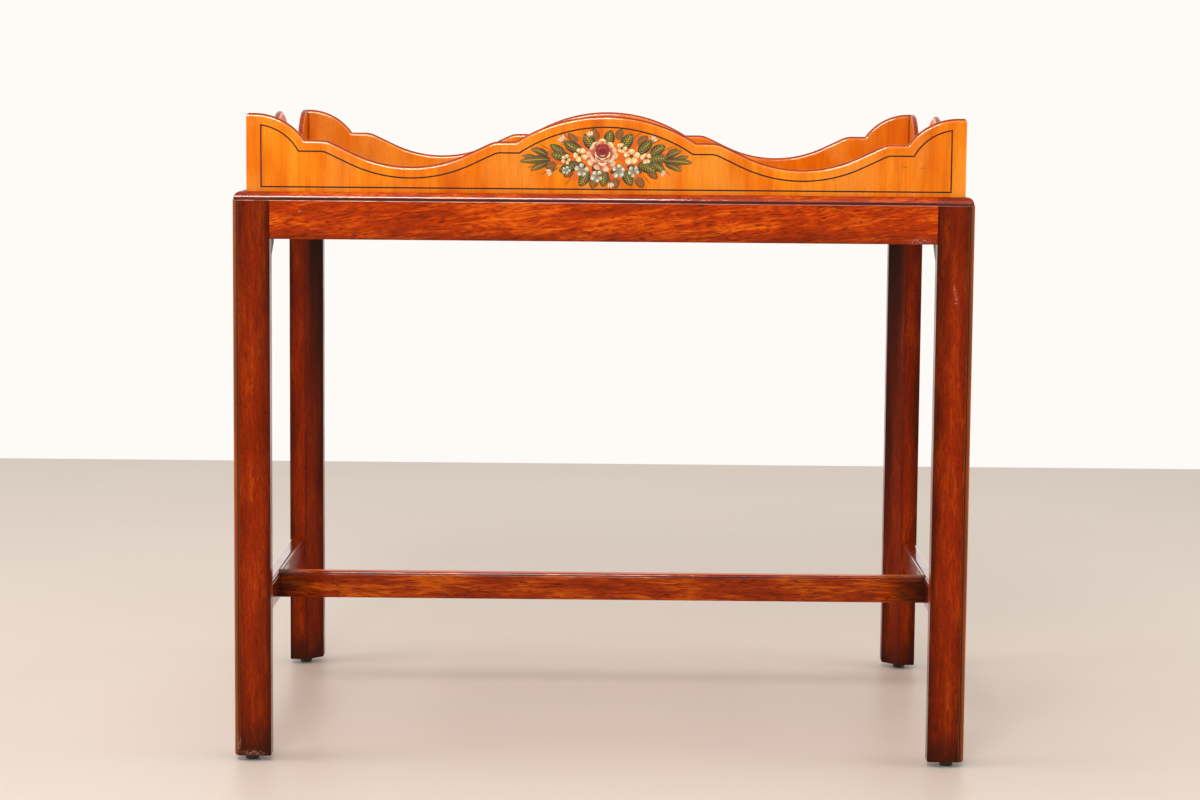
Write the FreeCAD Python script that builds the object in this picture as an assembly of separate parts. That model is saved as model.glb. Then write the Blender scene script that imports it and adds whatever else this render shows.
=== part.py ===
import FreeCAD, Part
import math
import os
from collections import namedtuple
from FreeCAD import Vector

# Tray top tea table: a moulded mahogany stand that holds a lift-off tray with a scalloped satinwood gallery.
# Millimetres. X runs along the table, Y to its back, Z up. The origin is on the floor under its middle.

# ---- Stand: overall
FRAME_LENGTH = 762.0
FRAME_WIDTH = 559.0
FRAME_HEIGHT = 595.0

# ---- Stand: rim moulding, and the seat rebated inside it for the tray
RIM_BEAD = 7.2
QUIRK = 1.4
RIM_LAND = 0.4
SEAT_DEPTH = 7.0

# ---- Stand: legs
LEG_SIZE = 38.5
CHAMFER_STOP_GAP = 4.0
CORNER_BEAD = 4.4
FOOT_EASING = 1.2

# ---- Stand: aprons and their tenons
APRON_HEIGHT = 48.5
APRON_THICKNESS = 20.0
APRON_TENON_THICKNESS = 7.0
APRON_TENON_SHOULDER = 5.0
MORTISE_WALL = 3.0

# ---- Stand: stretchers and their tenons
STRETCHER_UNDERSIDE = 127.0
STRETCHER_HEIGHT = 30.0
STRETCHER_THICKNESS = 16.0
STRETCHER_SET_IN = 1.0
STRETCHER_SEAT_MARGIN = 1.5
STRETCHER_BEAD = 2.6
STRETCHER_QUIRK = 0.8
STRETCHER_TENON_THICKNESS = 6.0
STRETCHER_TENON_SHOULDER = 5.0
SIDE_TENON_LENGTH = 20.0
CENTRE_TENON_LENGTH = 10.0

# ---- Stand: glides nailed under the feet
GLIDE_DIAMETER = 14.0
GLIDE_HEIGHT = 6.0
GLIDE_EASING = 1.0
GLIDE_SET_OUT = 2.5
NAIL_WIDTH = 2.2
NAIL_COVER = 2.0
NAIL_REACH = 16.0
NAIL_POINT = 4.0

# ---- Tray: gallery boards
TRAY_PLAY = 2.5
TRAY_SHIFT_SHARE = 0.85
BOARD_THICKNESS = 7.0
TOP_EASING = 2.2
GALLERY_RISE = 80.0
SHOULDER_FALL = 27.0
DIP_FALL = 26.5
LOBE_LENGTH = 60.0
LOBE_FLAT = 8.0
SHOULDER_FLAT = 16.0
SWEEP_SHARE = 0.79
HUMP_LENGTH_LONG = 185.0
HUMP_LENGTH_SHORT = 130.0

# ---- Tray: floor and stringing
FLOOR_THICKNESS = 8.0
FLOOR_LIP = 4.0
FLOOR_LAP = 3.5
STRING_WIDTH = 1.4
STRING_DEPTH = 0.6
STRING_INSET = 11.0
STRING_END_INSET = 14.4
STRING_ROUND_LONG = 15.6
STRING_ROUND_SHORT = 4.6

# ---- Fits
JOINT_GAP = 0.1
NAIL_GAP = 0.05
INLAY_GAP = 0.05

# ---- Places worked out from the sizes
OVERCUT = 5.0
HALF_LENGTH = FRAME_LENGTH / 2
HALF_WIDTH = FRAME_WIDTH / 2
RIM_WALL = QUIRK + RIM_BEAD + RIM_LAND
RIM_LEDGE_Z = FRAME_HEIGHT - RIM_BEAD - QUIRK
SEAT_Z = FRAME_HEIGHT - SEAT_DEPTH
APRON_UNDERSIDE = FRAME_HEIGHT - APRON_HEIGHT
APRON_TENON_BOTTOM = APRON_UNDERSIDE + APRON_TENON_SHOULDER
APRON_TENON_TOP = SEAT_Z - APRON_TENON_SHOULDER
APRON_TENON_OFFSET = (APRON_THICKNESS - APRON_TENON_THICKNESS) / 2
APRON_TENON_LENGTH = LEG_SIZE - APRON_TENON_OFFSET - APRON_TENON_THICKNESS - MORTISE_WALL
LEG_CHAMFER = LEG_SIZE - STRETCHER_SET_IN - STRETCHER_THICKNESS - STRETCHER_SEAT_MARGIN
STRETCHER_TOP = STRETCHER_UNDERSIDE + STRETCHER_HEIGHT
STRETCHER_TENON_BOTTOM = STRETCHER_UNDERSIDE + STRETCHER_TENON_SHOULDER
STRETCHER_TENON_TOP = STRETCHER_TOP - STRETCHER_TENON_SHOULDER
SIDE_STRETCHER_X = HALF_LENGTH - STRETCHER_SET_IN - STRETCHER_THICKNESS / 2
GLIDE_X = HALF_LENGTH - LEG_SIZE / 2 + GLIDE_SET_OUT
GLIDE_Y = HALF_WIDTH - LEG_SIZE / 2 + GLIDE_SET_OUT
TRAY_LENGTH = FRAME_LENGTH - 2 * (RIM_WALL + TRAY_PLAY)
TRAY_WIDTH = FRAME_WIDTH - 2 * (RIM_WALL + TRAY_PLAY)
PEAK = SEAT_DEPTH + GALLERY_RISE
SHOULDER = PEAK - SHOULDER_FALL
DIP = SHOULDER - DIP_FALL

X = Vector(1, 0, 0)
Y = Vector(0, 1, 0)
Z = Vector(0, 0, 1)
SAME_PLACE = 0.001


# ------------------------------------------------------------------ shared shapes
def block(low, high):
    """A box between two corners."""
    size = high - low
    return Part.makeBox(size.x, size.y, size.z, low)


def line(start, end):
    return Part.LineSegment(start, end).toShape()


def arc(start, centre, end):
    """The shorter arc between two points of a circle."""
    radius = (start - centre).Length
    outward = (start - centre) + (end - centre)
    return Part.Arc(start, centre + outward.normalize() * radius, end).toShape()


def straight_face(points):
    """A flat face with straight sides."""
    return Part.Face(Part.makePolygon(points + points[:1]))


def curved_face(edges):
    """A flat face inside lines and arcs that close on each other."""
    return Part.Face(Part.Wire(Part.__sortEdges__(edges)))


def one_solid(shape):
    """A joined or cut shape with its faces merged, as a plain solid."""
    (solid,) = shape.removeSplitter().Solids
    return solid


# ------------------------------------------------------------------ mouldings
def moulding_cutter(corner, inward, down, bead, quirk, sunk, run):
    """What a moulding plane takes off a square edge: all but a quarter-round bead, set in by a quirk.

    inward and down point from the corner along the two faces. A sunk bead has a quirk on both faces, as on
    the corner of a leg. Otherwise the bead runs up to the top face, and has its quirk below it.
    """
    drop = quirk if sunk else 0.0
    fillet = 0.0 if sunk else quirk

    def section(i, j):
        return corner + inward * i + down * j

    centre = section(quirk + bead, drop + bead)
    top = section(quirk + bead, drop)
    side = section(quirk, drop + bead)
    foot = section(quirk, drop + bead + fillet)
    waste = Part.makePolygon([foot, section(-OVERCUT, drop + bead + fillet), section(-OVERCUT, -OVERCUT),
                              section(quirk + bead, -OVERCUT), top])
    edges = waste.Edges + [arc(top, centre, side)]
    if not sunk:
        edges.append(line(side, foot))
    return curved_face(edges).extrude(run)


def rim_cutters():
    """The bead and quirk worked round the top of the stand."""
    right_end = Vector(HALF_LENGTH, -HALF_WIDTH - OVERCUT, FRAME_HEIGHT)
    back_end = Vector(-HALF_LENGTH - OVERCUT, HALF_WIDTH, FRAME_HEIGHT)
    right = moulding_cutter(right_end, -X, -Z, RIM_BEAD, QUIRK, False, Y * (FRAME_WIDTH + 2 * OVERCUT))
    back = moulding_cutter(back_end, -Y, -Z, RIM_BEAD, QUIRK, False, X * (FRAME_LENGTH + 2 * OVERCUT))
    return [right, back, right.mirror(Vector(), X), back.mirror(Vector(), Y)]


def tray_seat():
    """The well rebated inside the rim."""
    reach = Vector(HALF_LENGTH - RIM_WALL, HALF_WIDTH - RIM_WALL, 0)
    return block(Z * SEAT_Z - reach, Z * (FRAME_HEIGHT + OVERCUT) + reach)


TOP_CUTS = rim_cutters() + [tray_seat()]


# ------------------------------------------------------------------ tenons
def tenon(start, run, across, thickness, bottom, top, gap):
    """A tenon whose shoulder is centred on start. The gap widens it all round into its mortise."""
    half = across * (thickness / 2 + gap)
    reach = run + run * (gap / run.Length)
    low = start + Z * (bottom - gap)
    section = straight_face([low - half, low - half + reach, low + half + reach, low + half])
    return section.extrude(Z * (top - bottom + 2 * gap))


def long_apron_tenon(gap=0.0):
    """The tenon of the back apron in the back right leg."""
    start = Vector(HALF_LENGTH - LEG_SIZE, HALF_WIDTH - APRON_THICKNESS / 2, 0)
    return tenon(start, X * APRON_TENON_LENGTH, Y, APRON_TENON_THICKNESS,
                 APRON_TENON_BOTTOM, APRON_TENON_TOP, gap)


def short_apron_tenon(gap=0.0):
    """The tenon of the right apron in the back right leg."""
    start = Vector(HALF_LENGTH - APRON_THICKNESS / 2, HALF_WIDTH - LEG_SIZE, 0)
    return tenon(start, Y * APRON_TENON_LENGTH, X, APRON_TENON_THICKNESS,
                 APRON_TENON_BOTTOM, APRON_TENON_TOP, gap)


def side_stretcher_tenon(gap=0.0):
    """The tenon of the right side stretcher in the back right leg."""
    start = Vector(SIDE_STRETCHER_X, HALF_WIDTH - LEG_SIZE, 0)
    return tenon(start, Y * SIDE_TENON_LENGTH, X, STRETCHER_TENON_THICKNESS,
                 STRETCHER_TENON_BOTTOM, STRETCHER_TENON_TOP, gap)


def centre_stretcher_tenon(gap=0.0):
    """The tenon of the centre stretcher in the right side stretcher."""
    start = Vector(SIDE_STRETCHER_X - STRETCHER_THICKNESS / 2, 0, 0)
    return tenon(start, X * CENTRE_TENON_LENGTH, Y, STRETCHER_TENON_THICKNESS,
                 STRETCHER_TENON_BOTTOM, STRETCHER_TENON_TOP, gap)


# ------------------------------------------------------------------ glides
def glide_nail(gap=0.0):
    """The nail of a glide: a square shank held in the pad, with a chisel point up in the leg."""
    half = NAIL_WIDTH / 2 + gap
    near = Vector(GLIDE_X, GLIDE_Y - half, 0)
    foot = near + Z * (NAIL_COVER - gap)
    tip = near + Z * (GLIDE_HEIGHT + NAIL_REACH + gap)
    shoulder = tip - Z * NAIL_POINT
    side = straight_face([foot - X * half, foot + X * half, shoulder + X * half, tip, shoulder - X * half])
    return side.extrude(Y * (2 * half))


def glide():
    """The pad under the back right leg, eased where it meets the floor."""
    pad = Part.makeCylinder(GLIDE_DIAMETER / 2, GLIDE_HEIGHT, Vector(GLIDE_X, GLIDE_Y, 0))
    floor_edges = [edge for edge in pad.Edges if edge.BoundBox.ZMax < SAME_PLACE]
    return pad.makeChamfer(GLIDE_EASING, floor_edges).cut(glide_nail(NAIL_GAP))


# ------------------------------------------------------------------ legs
def inner_chamfer_cutter():
    """The wide chamfer on the inner corner of the back right leg, run out to nothing below the aprons."""
    inward = Vector(-1, -1, 0).normalize()
    across = Vector(1, -1, 0).normalize()
    depth = LEG_CHAMFER / math.sqrt(2)
    waste = depth + OVERCUT
    half_run = across * (depth + OVERCUT)
    inner_corner = Vector(HALF_LENGTH - LEG_SIZE, HALF_WIDTH - LEG_SIZE, 0)
    flat = inner_corner - inward * depth - half_run
    outside = flat + inward * waste
    stop = APRON_UNDERSIDE - CHAMFER_STOP_GAP - depth
    side = straight_face([flat, outside, outside + Z * (stop + waste), flat + Z * stop])
    return side.extrude(half_run * 2)


def leg():
    """The back right leg."""
    foot = Vector(HALF_LENGTH - LEG_SIZE, HALF_WIDTH - LEG_SIZE, GLIDE_HEIGHT)
    blank = block(foot, Vector(HALF_LENGTH, HALF_WIDTH, FRAME_HEIGHT))
    foot_edges = [edge for edge in blank.Edges if edge.BoundBox.ZMax < GLIDE_HEIGHT + SAME_PLACE]
    blank = blank.makeChamfer(FOOT_EASING, foot_edges)
    corner = Vector(HALF_LENGTH, HALF_WIDTH, 0)
    bead = moulding_cutter(corner, -X, -Y, CORNER_BEAD, QUIRK, True, Z * RIM_LEDGE_Z)
    mortises = [long_apron_tenon(JOINT_GAP), short_apron_tenon(JOINT_GAP), side_stretcher_tenon(JOINT_GAP)]
    return blank.cut([bead, inner_chamfer_cutter(), glide_nail(NAIL_GAP)] + TOP_CUTS + mortises)


# ------------------------------------------------------------------ aprons
def long_apron():
    """The back apron."""
    half_run = HALF_LENGTH - LEG_SIZE
    rail = block(Vector(-half_run, HALF_WIDTH - APRON_THICKNESS, APRON_UNDERSIDE),
                 Vector(half_run, HALF_WIDTH, FRAME_HEIGHT))
    right = long_apron_tenon()
    return rail.cut(TOP_CUTS).fuse([right, right.mirror(Vector(), X)])


def short_apron():
    """The right apron."""
    half_run = HALF_WIDTH - LEG_SIZE
    rail = block(Vector(HALF_LENGTH - APRON_THICKNESS, -half_run, APRON_UNDERSIDE),
                 Vector(HALF_LENGTH, half_run, FRAME_HEIGHT))
    back = short_apron_tenon()
    return rail.cut(TOP_CUTS).fuse([back, back.mirror(Vector(), Y)])


# ------------------------------------------------------------------ stretchers
def moulded_bar(start, run, across, gap=0.0):
    """A bar with both top edges moulded. start is the middle of its underside at one end."""
    half = across * (STRETCHER_THICKNESS / 2 + gap)
    height = STRETCHER_HEIGHT + gap
    underside = straight_face([start - half, start + half, start + half + run, start - half + run])
    bar = underside.extrude(Z * height)
    extra = run * (OVERCUT / run.Length)
    top = start + Z * height - extra
    cutters = [moulding_cutter(top + half * side, across * -side, -Z, STRETCHER_BEAD, STRETCHER_QUIRK, False,
                               run + extra * 2) for side in (-1, 1)]
    return bar.cut(cutters)


def side_bar(gap=0.0):
    """The right side stretcher between the shoulders of its tenons."""
    half_run = HALF_WIDTH - LEG_SIZE
    return moulded_bar(Vector(SIDE_STRETCHER_X, -half_run, STRETCHER_UNDERSIDE), Y * (2 * half_run), X, gap)


def side_stretcher():
    """The right side stretcher, mortised for the centre stretcher."""
    back = side_stretcher_tenon()
    return side_bar().fuse([back, back.mirror(Vector(), Y)]).cut(centre_stretcher_tenon(JOINT_GAP))


def centre_stretcher():
    """The centre stretcher, its moulded ends scribed over the mouldings of the side stretchers."""
    bar = moulded_bar(Vector(-SIDE_STRETCHER_X, 0, STRETCHER_UNDERSIDE), X * (2 * SIDE_STRETCHER_X), Y)
    beside = side_bar(JOINT_GAP)
    right = centre_stretcher_tenon()
    shoulder = right.copy()
    shoulder.translate(X * -JOINT_GAP)
    end = right.fuse(shoulder)
    return bar.cut([beside, beside.mirror(Vector(), X)]).fuse([end, end.mirror(Vector(), X)])


# ------------------------------------------------------------------ tray: outline of a gallery board
# A board is drawn standing in the XZ plane, with its outer face at y = 0, its inner face at
# y = BOARD_THICKNESS and the middle of its lower edge at the origin. An inset draws the scalloped line in by
# that width all along.
Board = namedtuple("Board", "length hump_length string_round")
LONG_BOARD = Board(TRAY_LENGTH, HUMP_LENGTH_LONG, STRING_ROUND_LONG)
SHORT_BOARD = Board(TRAY_WIDTH, HUMP_LENGTH_SHORT, STRING_ROUND_SHORT)


def at(x, z):
    return Vector(x, 0, z)


def crest_radius(run):
    """The radius of an arc that is level at the peak and drops to the shoulder over the run."""
    return (run ** 2 + SHOULDER_FALL ** 2) / (2 * SHOULDER_FALL)


def crest_run(radius, inset, drop):
    """How far that arc, drawn in by the inset, runs while it drops."""
    return math.sqrt(drop * (2 * (radius - inset) - drop))


def hump_edges(board, inset, root):
    """The middle arc, carried down past the shoulders by the root."""
    radius = crest_radius(board.hump_length / 2)
    run = crest_run(radius, inset, SHOULDER_FALL + root)
    low = SHOULDER - inset - root
    return [Part.Arc(at(-run, low), at(0, PEAK - inset), at(run, low)).toShape()]


def lobe_edges(board, inset, root, side):
    """The lobe at one end: level at the corner, then an arc carried down past the shoulder by the root."""
    radius = crest_radius(LOBE_LENGTH - LOBE_FLAT)
    run = crest_run(radius, inset, SHOULDER_FALL + root)
    crown_x = board.length / 2 - LOBE_FLAT
    corner = at(side * board.length / 2, PEAK - inset)
    crown = at(side * crown_x, PEAK - inset)
    low = at(side * (crown_x - run), SHOULDER - inset - root)
    return [line(corner, crown), arc(crown, crown - Z * (radius - inset), low)]


def dip_edges(board, inset, side):
    """The sweep down from one shoulder to the dip and up to the next: arc, straight, arc, straight, arc."""
    inner = board.hump_length / 2 + SHOULDER_FLAT
    outer = board.length / 2 - LOBE_LENGTH - SHOULDER_FLAT
    half = (outer - inner) / 2
    middle = side * (outer + inner) / 2
    slope = 2 * math.atan(DIP_FALL / half) * SWEEP_SHARE
    both_radii = (half * math.sin(slope) - DIP_FALL * math.cos(slope)) / (1 - math.cos(slope))
    convex = min(board.string_round + STRING_INSET + STRING_WIDTH, both_radii / 2)
    hollow = both_radii - convex
    hollow_centre = at(middle, DIP + hollow)
    edges = []
    hollow_ends = []
    for end in (-1, 1):
        normal = Vector(-end * math.sin(slope), 0, math.cos(slope))
        round_centre = at(middle + end * half, SHOULDER - convex)
        round_start = round_centre + Z * (convex - inset)
        round_end = round_centre + normal * (convex - inset)
        hollow_end = hollow_centre - normal * (hollow + inset)
        edges += [arc(round_start, round_centre, round_end), line(round_end, hollow_end)]
        hollow_ends.append(hollow_end)
    edges.append(arc(hollow_ends[0], hollow_centre, hollow_ends[1]))
    return edges


def shoulder_edges(board, inset, hump_run, lobe_run):
    """The level lines of the shoulders, between the dips and what rises beside them."""
    level = SHOULDER - inset
    inner = board.hump_length / 2 + SHOULDER_FLAT
    outer = board.length / 2 - LOBE_LENGTH - SHOULDER_FLAT
    edges = []
    for side in (-1, 1):
        edges.append(line(at(side * hump_run, level), at(side * inner, level)))
        edges.append(line(at(side * outer, level), at(side * lobe_run, level)))
    return edges


def scalloped_edges(board, inset):
    """The whole scalloped line from end to end."""
    hump_run = crest_run(crest_radius(board.hump_length / 2), inset, SHOULDER_FALL)
    lobe_run = crest_run(crest_radius(LOBE_LENGTH - LOBE_FLAT), inset, SHOULDER_FALL)
    edges = shoulder_edges(board, inset, hump_run, board.length / 2 - LOBE_FLAT - lobe_run)
    edges += hump_edges(board, inset, 0)
    for side in (-1, 1):
        edges += dip_edges(board, inset, side) + lobe_edges(board, inset, 0, side)
    return edges


def scalloped_plate(board, inset, end_inset, depth):
    """A plate on the outer face, under the inset line and cut off short of the ends and the foot."""
    half = board.length / 2
    top = PEAK - inset
    closing = Part.makePolygon([at(-half, top), at(-half, 0), at(half, 0), at(half, top)]).Edges
    plate = curved_face(scalloped_edges(board, inset) + closing).extrude(Y * depth)
    reach = half - end_inset
    return plate.common(block(Vector(-reach, 0, inset), Vector(reach, depth, PEAK)))


# ------------------------------------------------------------------ tray: gallery boards
def eased_plate(top_edges, closing_points):
    """A plate as thick as the board, with its top edges eased from both faces."""
    closing = Part.makePolygon(closing_points).Edges
    plate = curved_face(top_edges + closing).extrude(Y * BOARD_THICKNESS)
    middles = [edge.CenterOfMass for edge in top_edges]
    middles += [middle + Y * BOARD_THICKNESS for middle in middles]
    arrises = [edge for edge in plate.Edges
               if any((edge.CenterOfMass - middle).Length < SAME_PLACE for middle in middles)]
    return plate.makeChamfer(TOP_EASING, arrises)


def eased_board(board):
    """The board with its top eased: shoulders and dips, with the hump and the lobes standing in them.

    Each is eased by itself, so that the easings meet in a sharp valley at the cusps.
    """
    half = board.length / 2
    root = BOARD_THICKNESS
    low = SHOULDER - root
    base_edges = shoulder_edges(board, 0, 0, half) + dip_edges(board, 0, -1) + dip_edges(board, 0, 1)
    base = eased_plate(base_edges, [at(-half, SHOULDER), at(-half, 0), at(half, 0), at(half, SHOULDER)])
    hump_run = crest_run(crest_radius(board.hump_length / 2), 0, SHOULDER_FALL + root)
    lobe_run = crest_run(crest_radius(LOBE_LENGTH - LOBE_FLAT), 0, SHOULDER_FALL + root)
    hump = eased_plate(hump_edges(board, 0, root), [at(-hump_run, low), at(hump_run, low)])
    lobe = eased_plate(lobe_edges(board, 0, root, 1),
                       [at(half, PEAK), at(half, low), at(half - LOBE_FLAT - lobe_run, low)])
    return base.fuse([hump, lobe, lobe.mirror(Vector(), X)])


def mitre_prism(board):
    """The plan of a board, mitred at both ends."""
    half = board.length / 2
    inner_half = half - BOARD_THICKNESS
    plan = straight_face([Vector(-half, 0, 0), Vector(half, 0, 0), Vector(inner_half, BOARD_THICKNESS, 0),
                          Vector(-inner_half, BOARD_THICKNESS, 0)])
    return plan.extrude(Z * PEAK)


def string_ring(board, gap=0.0):
    """The string let into the outer face, or its groove: a band that keeps its distance from the edges."""
    outside = scalloped_plate(board, STRING_INSET + gap, STRING_END_INSET + gap, STRING_DEPTH)
    inside = scalloped_plate(board, STRING_INSET + STRING_WIDTH - gap, STRING_END_INSET + STRING_WIDTH - gap,
                             STRING_DEPTH)
    return outside.cut(inside)


def gallery_board(board):
    """A board, rebated for the lip of the floor, with the groove for its string."""
    rebate = block(Vector(-board.length, BOARD_THICKNESS - FLOOR_LAP, 0),
                   Vector(board.length, BOARD_THICKNESS, FLOOR_LIP + JOINT_GAP))
    return eased_board(board).common(mitre_prism(board)).cut([string_ring(board), rebate])


def stringing(board):
    return string_ring(board, INLAY_GAP)


def floor_panel():
    """The panel between the boards, with a lip all round that laps under them in their rebates."""
    field = Vector(TRAY_LENGTH / 2, TRAY_WIDTH / 2, 0) - (X + Y) * (BOARD_THICKNESS + JOINT_GAP)
    lip = field + (X + Y) * FLOOR_LAP
    return block(-field, field + Z * FLOOR_THICKNESS).fuse(block(-lip, lip + Z * FLOOR_LIP))


# ------------------------------------------------------------------ assembly
def mirrored(shape, flip_x, flip_y):
    """A piece of the back right quarter, in another quarter of the table."""
    if flip_x:
        shape = shape.mirror(Vector(), X)
    if flip_y:
        shape = shape.mirror(Vector(), Y)
    return shape


def stand():
    """Every piece of the stand by its name."""
    quarters = {("front" if flip_y else "back") + ("_left" if flip_x else "_right"): (flip_x, flip_y)
                for flip_y in (True, False) for flip_x in (True, False)}
    pieces = {}
    for name, flips in quarters.items():
        pieces["leg_" + name] = one_solid(mirrored(leg(), *flips))
        pieces["glide_" + name] = one_solid(mirrored(glide(), *flips))
    pieces["glide_nails"] = Part.makeCompound([mirrored(glide_nail(), *flips) for flips in quarters.values()])
    for name, flip in (("left", True), ("right", False)):
        pieces["apron_" + name] = one_solid(mirrored(short_apron(), flip, False))
        pieces["side_stretcher_" + name] = one_solid(mirrored(side_stretcher(), flip, False))
    for name, flip in (("front", True), ("back", False)):
        pieces["apron_" + name] = one_solid(mirrored(long_apron(), False, flip))
    pieces["centre_stretcher"] = one_solid(centre_stretcher())
    return pieces


def tray():
    """Every piece of the tray by its name, standing in the seat and pushed a little to the right."""
    pieces = {"tray_floor": one_solid(floor_panel())}
    sides = [("front", LONG_BOARD, TRAY_WIDTH), ("right", SHORT_BOARD, TRAY_LENGTH),
             ("back", LONG_BOARD, TRAY_WIDTH), ("left", SHORT_BOARD, TRAY_LENGTH)]
    for quarter_turns, (name, board, across) in enumerate(sides):
        for piece, shape in (("gallery", gallery_board(board)), ("stringing", stringing(board))):
            shape = one_solid(shape)
            shape.translate(Y * (-across / 2))
            shape.rotate(Vector(), Z, 90 * quarter_turns)
            pieces[piece + "_" + name] = shape
    for shape in pieces.values():
        shape.translate(Vector(TRAY_SHIFT_SHARE * TRAY_PLAY, 0, SEAT_Z))
    return pieces


os.makedirs("parts", exist_ok=True)
for node, shape in {**stand(), **tray()}.items():
    shape.exportStep("parts/" + node + ".step")
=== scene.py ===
import math
import random
from collections import namedtuple

import bmesh
import bpy
from bpy.props import FloatProperty, FloatVectorProperty, PointerProperty
from bpy.types import Operator, Panel, PropertyGroup
from mathutils import Matrix, Vector


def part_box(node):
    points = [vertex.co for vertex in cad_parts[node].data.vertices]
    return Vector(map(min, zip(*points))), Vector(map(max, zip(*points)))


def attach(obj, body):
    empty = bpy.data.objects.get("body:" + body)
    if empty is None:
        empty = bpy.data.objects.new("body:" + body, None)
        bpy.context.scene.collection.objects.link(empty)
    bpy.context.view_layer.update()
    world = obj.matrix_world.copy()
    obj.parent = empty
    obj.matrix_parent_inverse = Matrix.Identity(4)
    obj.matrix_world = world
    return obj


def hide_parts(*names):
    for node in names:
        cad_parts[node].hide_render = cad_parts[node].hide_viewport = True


bl_info = {
    "name": "Tray Top Tea Table",
    "version": (1, 0, 0),
    "blender": (4, 5, 0),
    "location": "3D View > Sidebar > Tea Table",
    "description": "Dresses the frame of a tea table: polished mahogany stand, painted satinwood tray",
    "category": "Object",
}

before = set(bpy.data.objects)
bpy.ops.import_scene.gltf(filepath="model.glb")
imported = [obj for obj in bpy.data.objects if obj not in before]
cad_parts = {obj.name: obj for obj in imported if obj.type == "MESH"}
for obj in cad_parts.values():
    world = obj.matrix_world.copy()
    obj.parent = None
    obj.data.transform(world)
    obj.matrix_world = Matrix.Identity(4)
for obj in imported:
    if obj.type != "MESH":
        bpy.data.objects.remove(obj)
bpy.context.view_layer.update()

MM = 0.001
X_AXIS, Y_AXIS, Z_AXIS = range(3)
SQUARELY = 0.9
CORNERS = ("front_left", "front_right", "back_left", "back_right")
SIDES = ("front", "right", "back", "left")


def from_screen(red, green, blue):
    """A colour picked on a screen, 0 to 255, as the linear light that shaders take."""
    def channel(value):
        part = value / 255
        return part / 12.92 if part <= 0.04045 else ((part + 0.055) / 1.055) ** 2.4
    return channel(red), channel(green), channel(blue)


# ================================================================== settings
def colour(name, description, *screen):
    """A colour setting, given as it looks on a screen."""
    return FloatVectorProperty(name=name, description=description, default=from_screen(*screen),
                               subtype="COLOR", size=3, min=0.0, max=1.0)


def length(name, description, default, least=0.0):
    """A length setting, in metres."""
    return FloatProperty(name=name, description=description, default=default, subtype="DISTANCE",
                         unit="LENGTH", min=least)


def fraction(name, description, default):
    """A setting from 0 to 1."""
    return FloatProperty(name=name, description=description, default=default, subtype="FACTOR",
                         min=0.0, max=1.0)


def wattage(name, description, default):
    """The power of a light."""
    return FloatProperty(name=name, description=description, default=default, unit="POWER", min=0.0)


class StandSettings(PropertyGroup):
    """The polished mahogany of the stand."""
    arris_radius: length("Arris radius", "How far the long edges of the stand are rubbed down", 0.7 * MM)
    dark_grain: colour("Dark grain", "Darkest lines of the mahogany", 92, 20, 3)
    ground: colour("Ground", "Body colour of the mahogany", 182, 56, 3)
    bright_grain: colour("Bright grain", "Brightest patches of the mahogany", 228, 98, 10)
    # Rubbed wood colour, also used for painted highlights on the leg beads and painted light on the top of
    # the centre stretcher.
    rubbed: colour("Rubbed wood", "Wood where hands have worn the polish off the corners", 226, 116, 30)
    # Dark wax colour, also laid on as painted shade in quirks, grooves, inner chamfers and joints.
    wax_and_shade: colour("Wax", "Old dark wax left in the quirks", 30, 14, 12)
    gloss: fraction("Roughness", "Roughness of the French polish", 0.2)


class TraySettings(PropertyGroup):
    """The satinwood tray and its stringing."""
    top_radius: length("Top radius", "How far the rounded top of a board goes into its thickness", 2.9 * MM)
    top_drop: length("Top drop", "How far down the faces of a board its rounded top reaches", 5.0 * MM)
    satinwood_dark: colour("Satinwood shade", "Darkest ribbon of the satinwood", 214, 94, 3)
    satinwood: colour("Satinwood", "Body colour of the satinwood", 234, 119, 5)
    satinwood_light: colour("Satinwood light", "Brightest ribbon of the satinwood", 247, 146, 24)
    satinwood_gold: colour("Satinwood gold", "Pale gold patches of the satinwood", 243, 158, 62)
    satinwood_olive: colour("Satinwood olive", "Olive streaks of the satinwood", 196, 100, 16)
    string: colour("String", "Black stringing under the polish", 24, 20, 18)
    string_proud: length("String proud", "How far the string stands out of the face", 0.08 * MM)
    gloss: fraction("Roughness", "Roughness of the polish on the satinwood", 0.28)


class StageSettings(PropertyGroup):
    """The floor, the lights and the camera."""
    floor: colour("Floor", "Colour of the plain floor", 222, 206, 192)
    backdrop: colour("Backdrop", "Colour of the plain background", 254, 251, 247)
    floor_depth: length("Floor depth", "Distance behind the table where the floor ends", 2.2, 0.5)
    pale_radius: length("Pale radius", "Distance at which the floor fades to white", 3.4, 0.5)
    window: wattage("Window light", "Power of the high front light", 51.0)
    fill: wattage("Left light", "Power of the soft light on the left", 31.0)
    weak_fill: wattage("Right light", "Power of the soft light on the right", 19.0)
    overhead: wattage("Overhead light", "Power of the light above", 16.0)
    daylight: FloatProperty(name="Daylight", description="Strength of the light from all round",
                            default=0.63, min=0.0)
    lens: FloatProperty(name="Lens", description="Focal length of the camera", default=87.53,
                        subtype="DISTANCE_CAMERA", unit="CAMERA", min=1.0)


class TableSettings(PropertyGroup):
    """All settings of the tea table."""
    stand: PointerProperty(type=StandSettings, name="Stand", description="Finish of the stand")
    tray: PointerProperty(type=TraySettings, name="Tray", description="Finish of the tray")
    stage: PointerProperty(type=StageSettings, name="Stage", description="Floor, lights and camera")


def settings():
    """The settings of the tea table in this scene."""
    return bpy.context.scene.tea_table


# ================================================================== shader nodes
# Sockets of a Mix node that mixes colours.
MIX_FACTOR, MIX_FIRST, MIX_SECOND, MIXED_COLOUR = 0, 6, 7, 2


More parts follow.
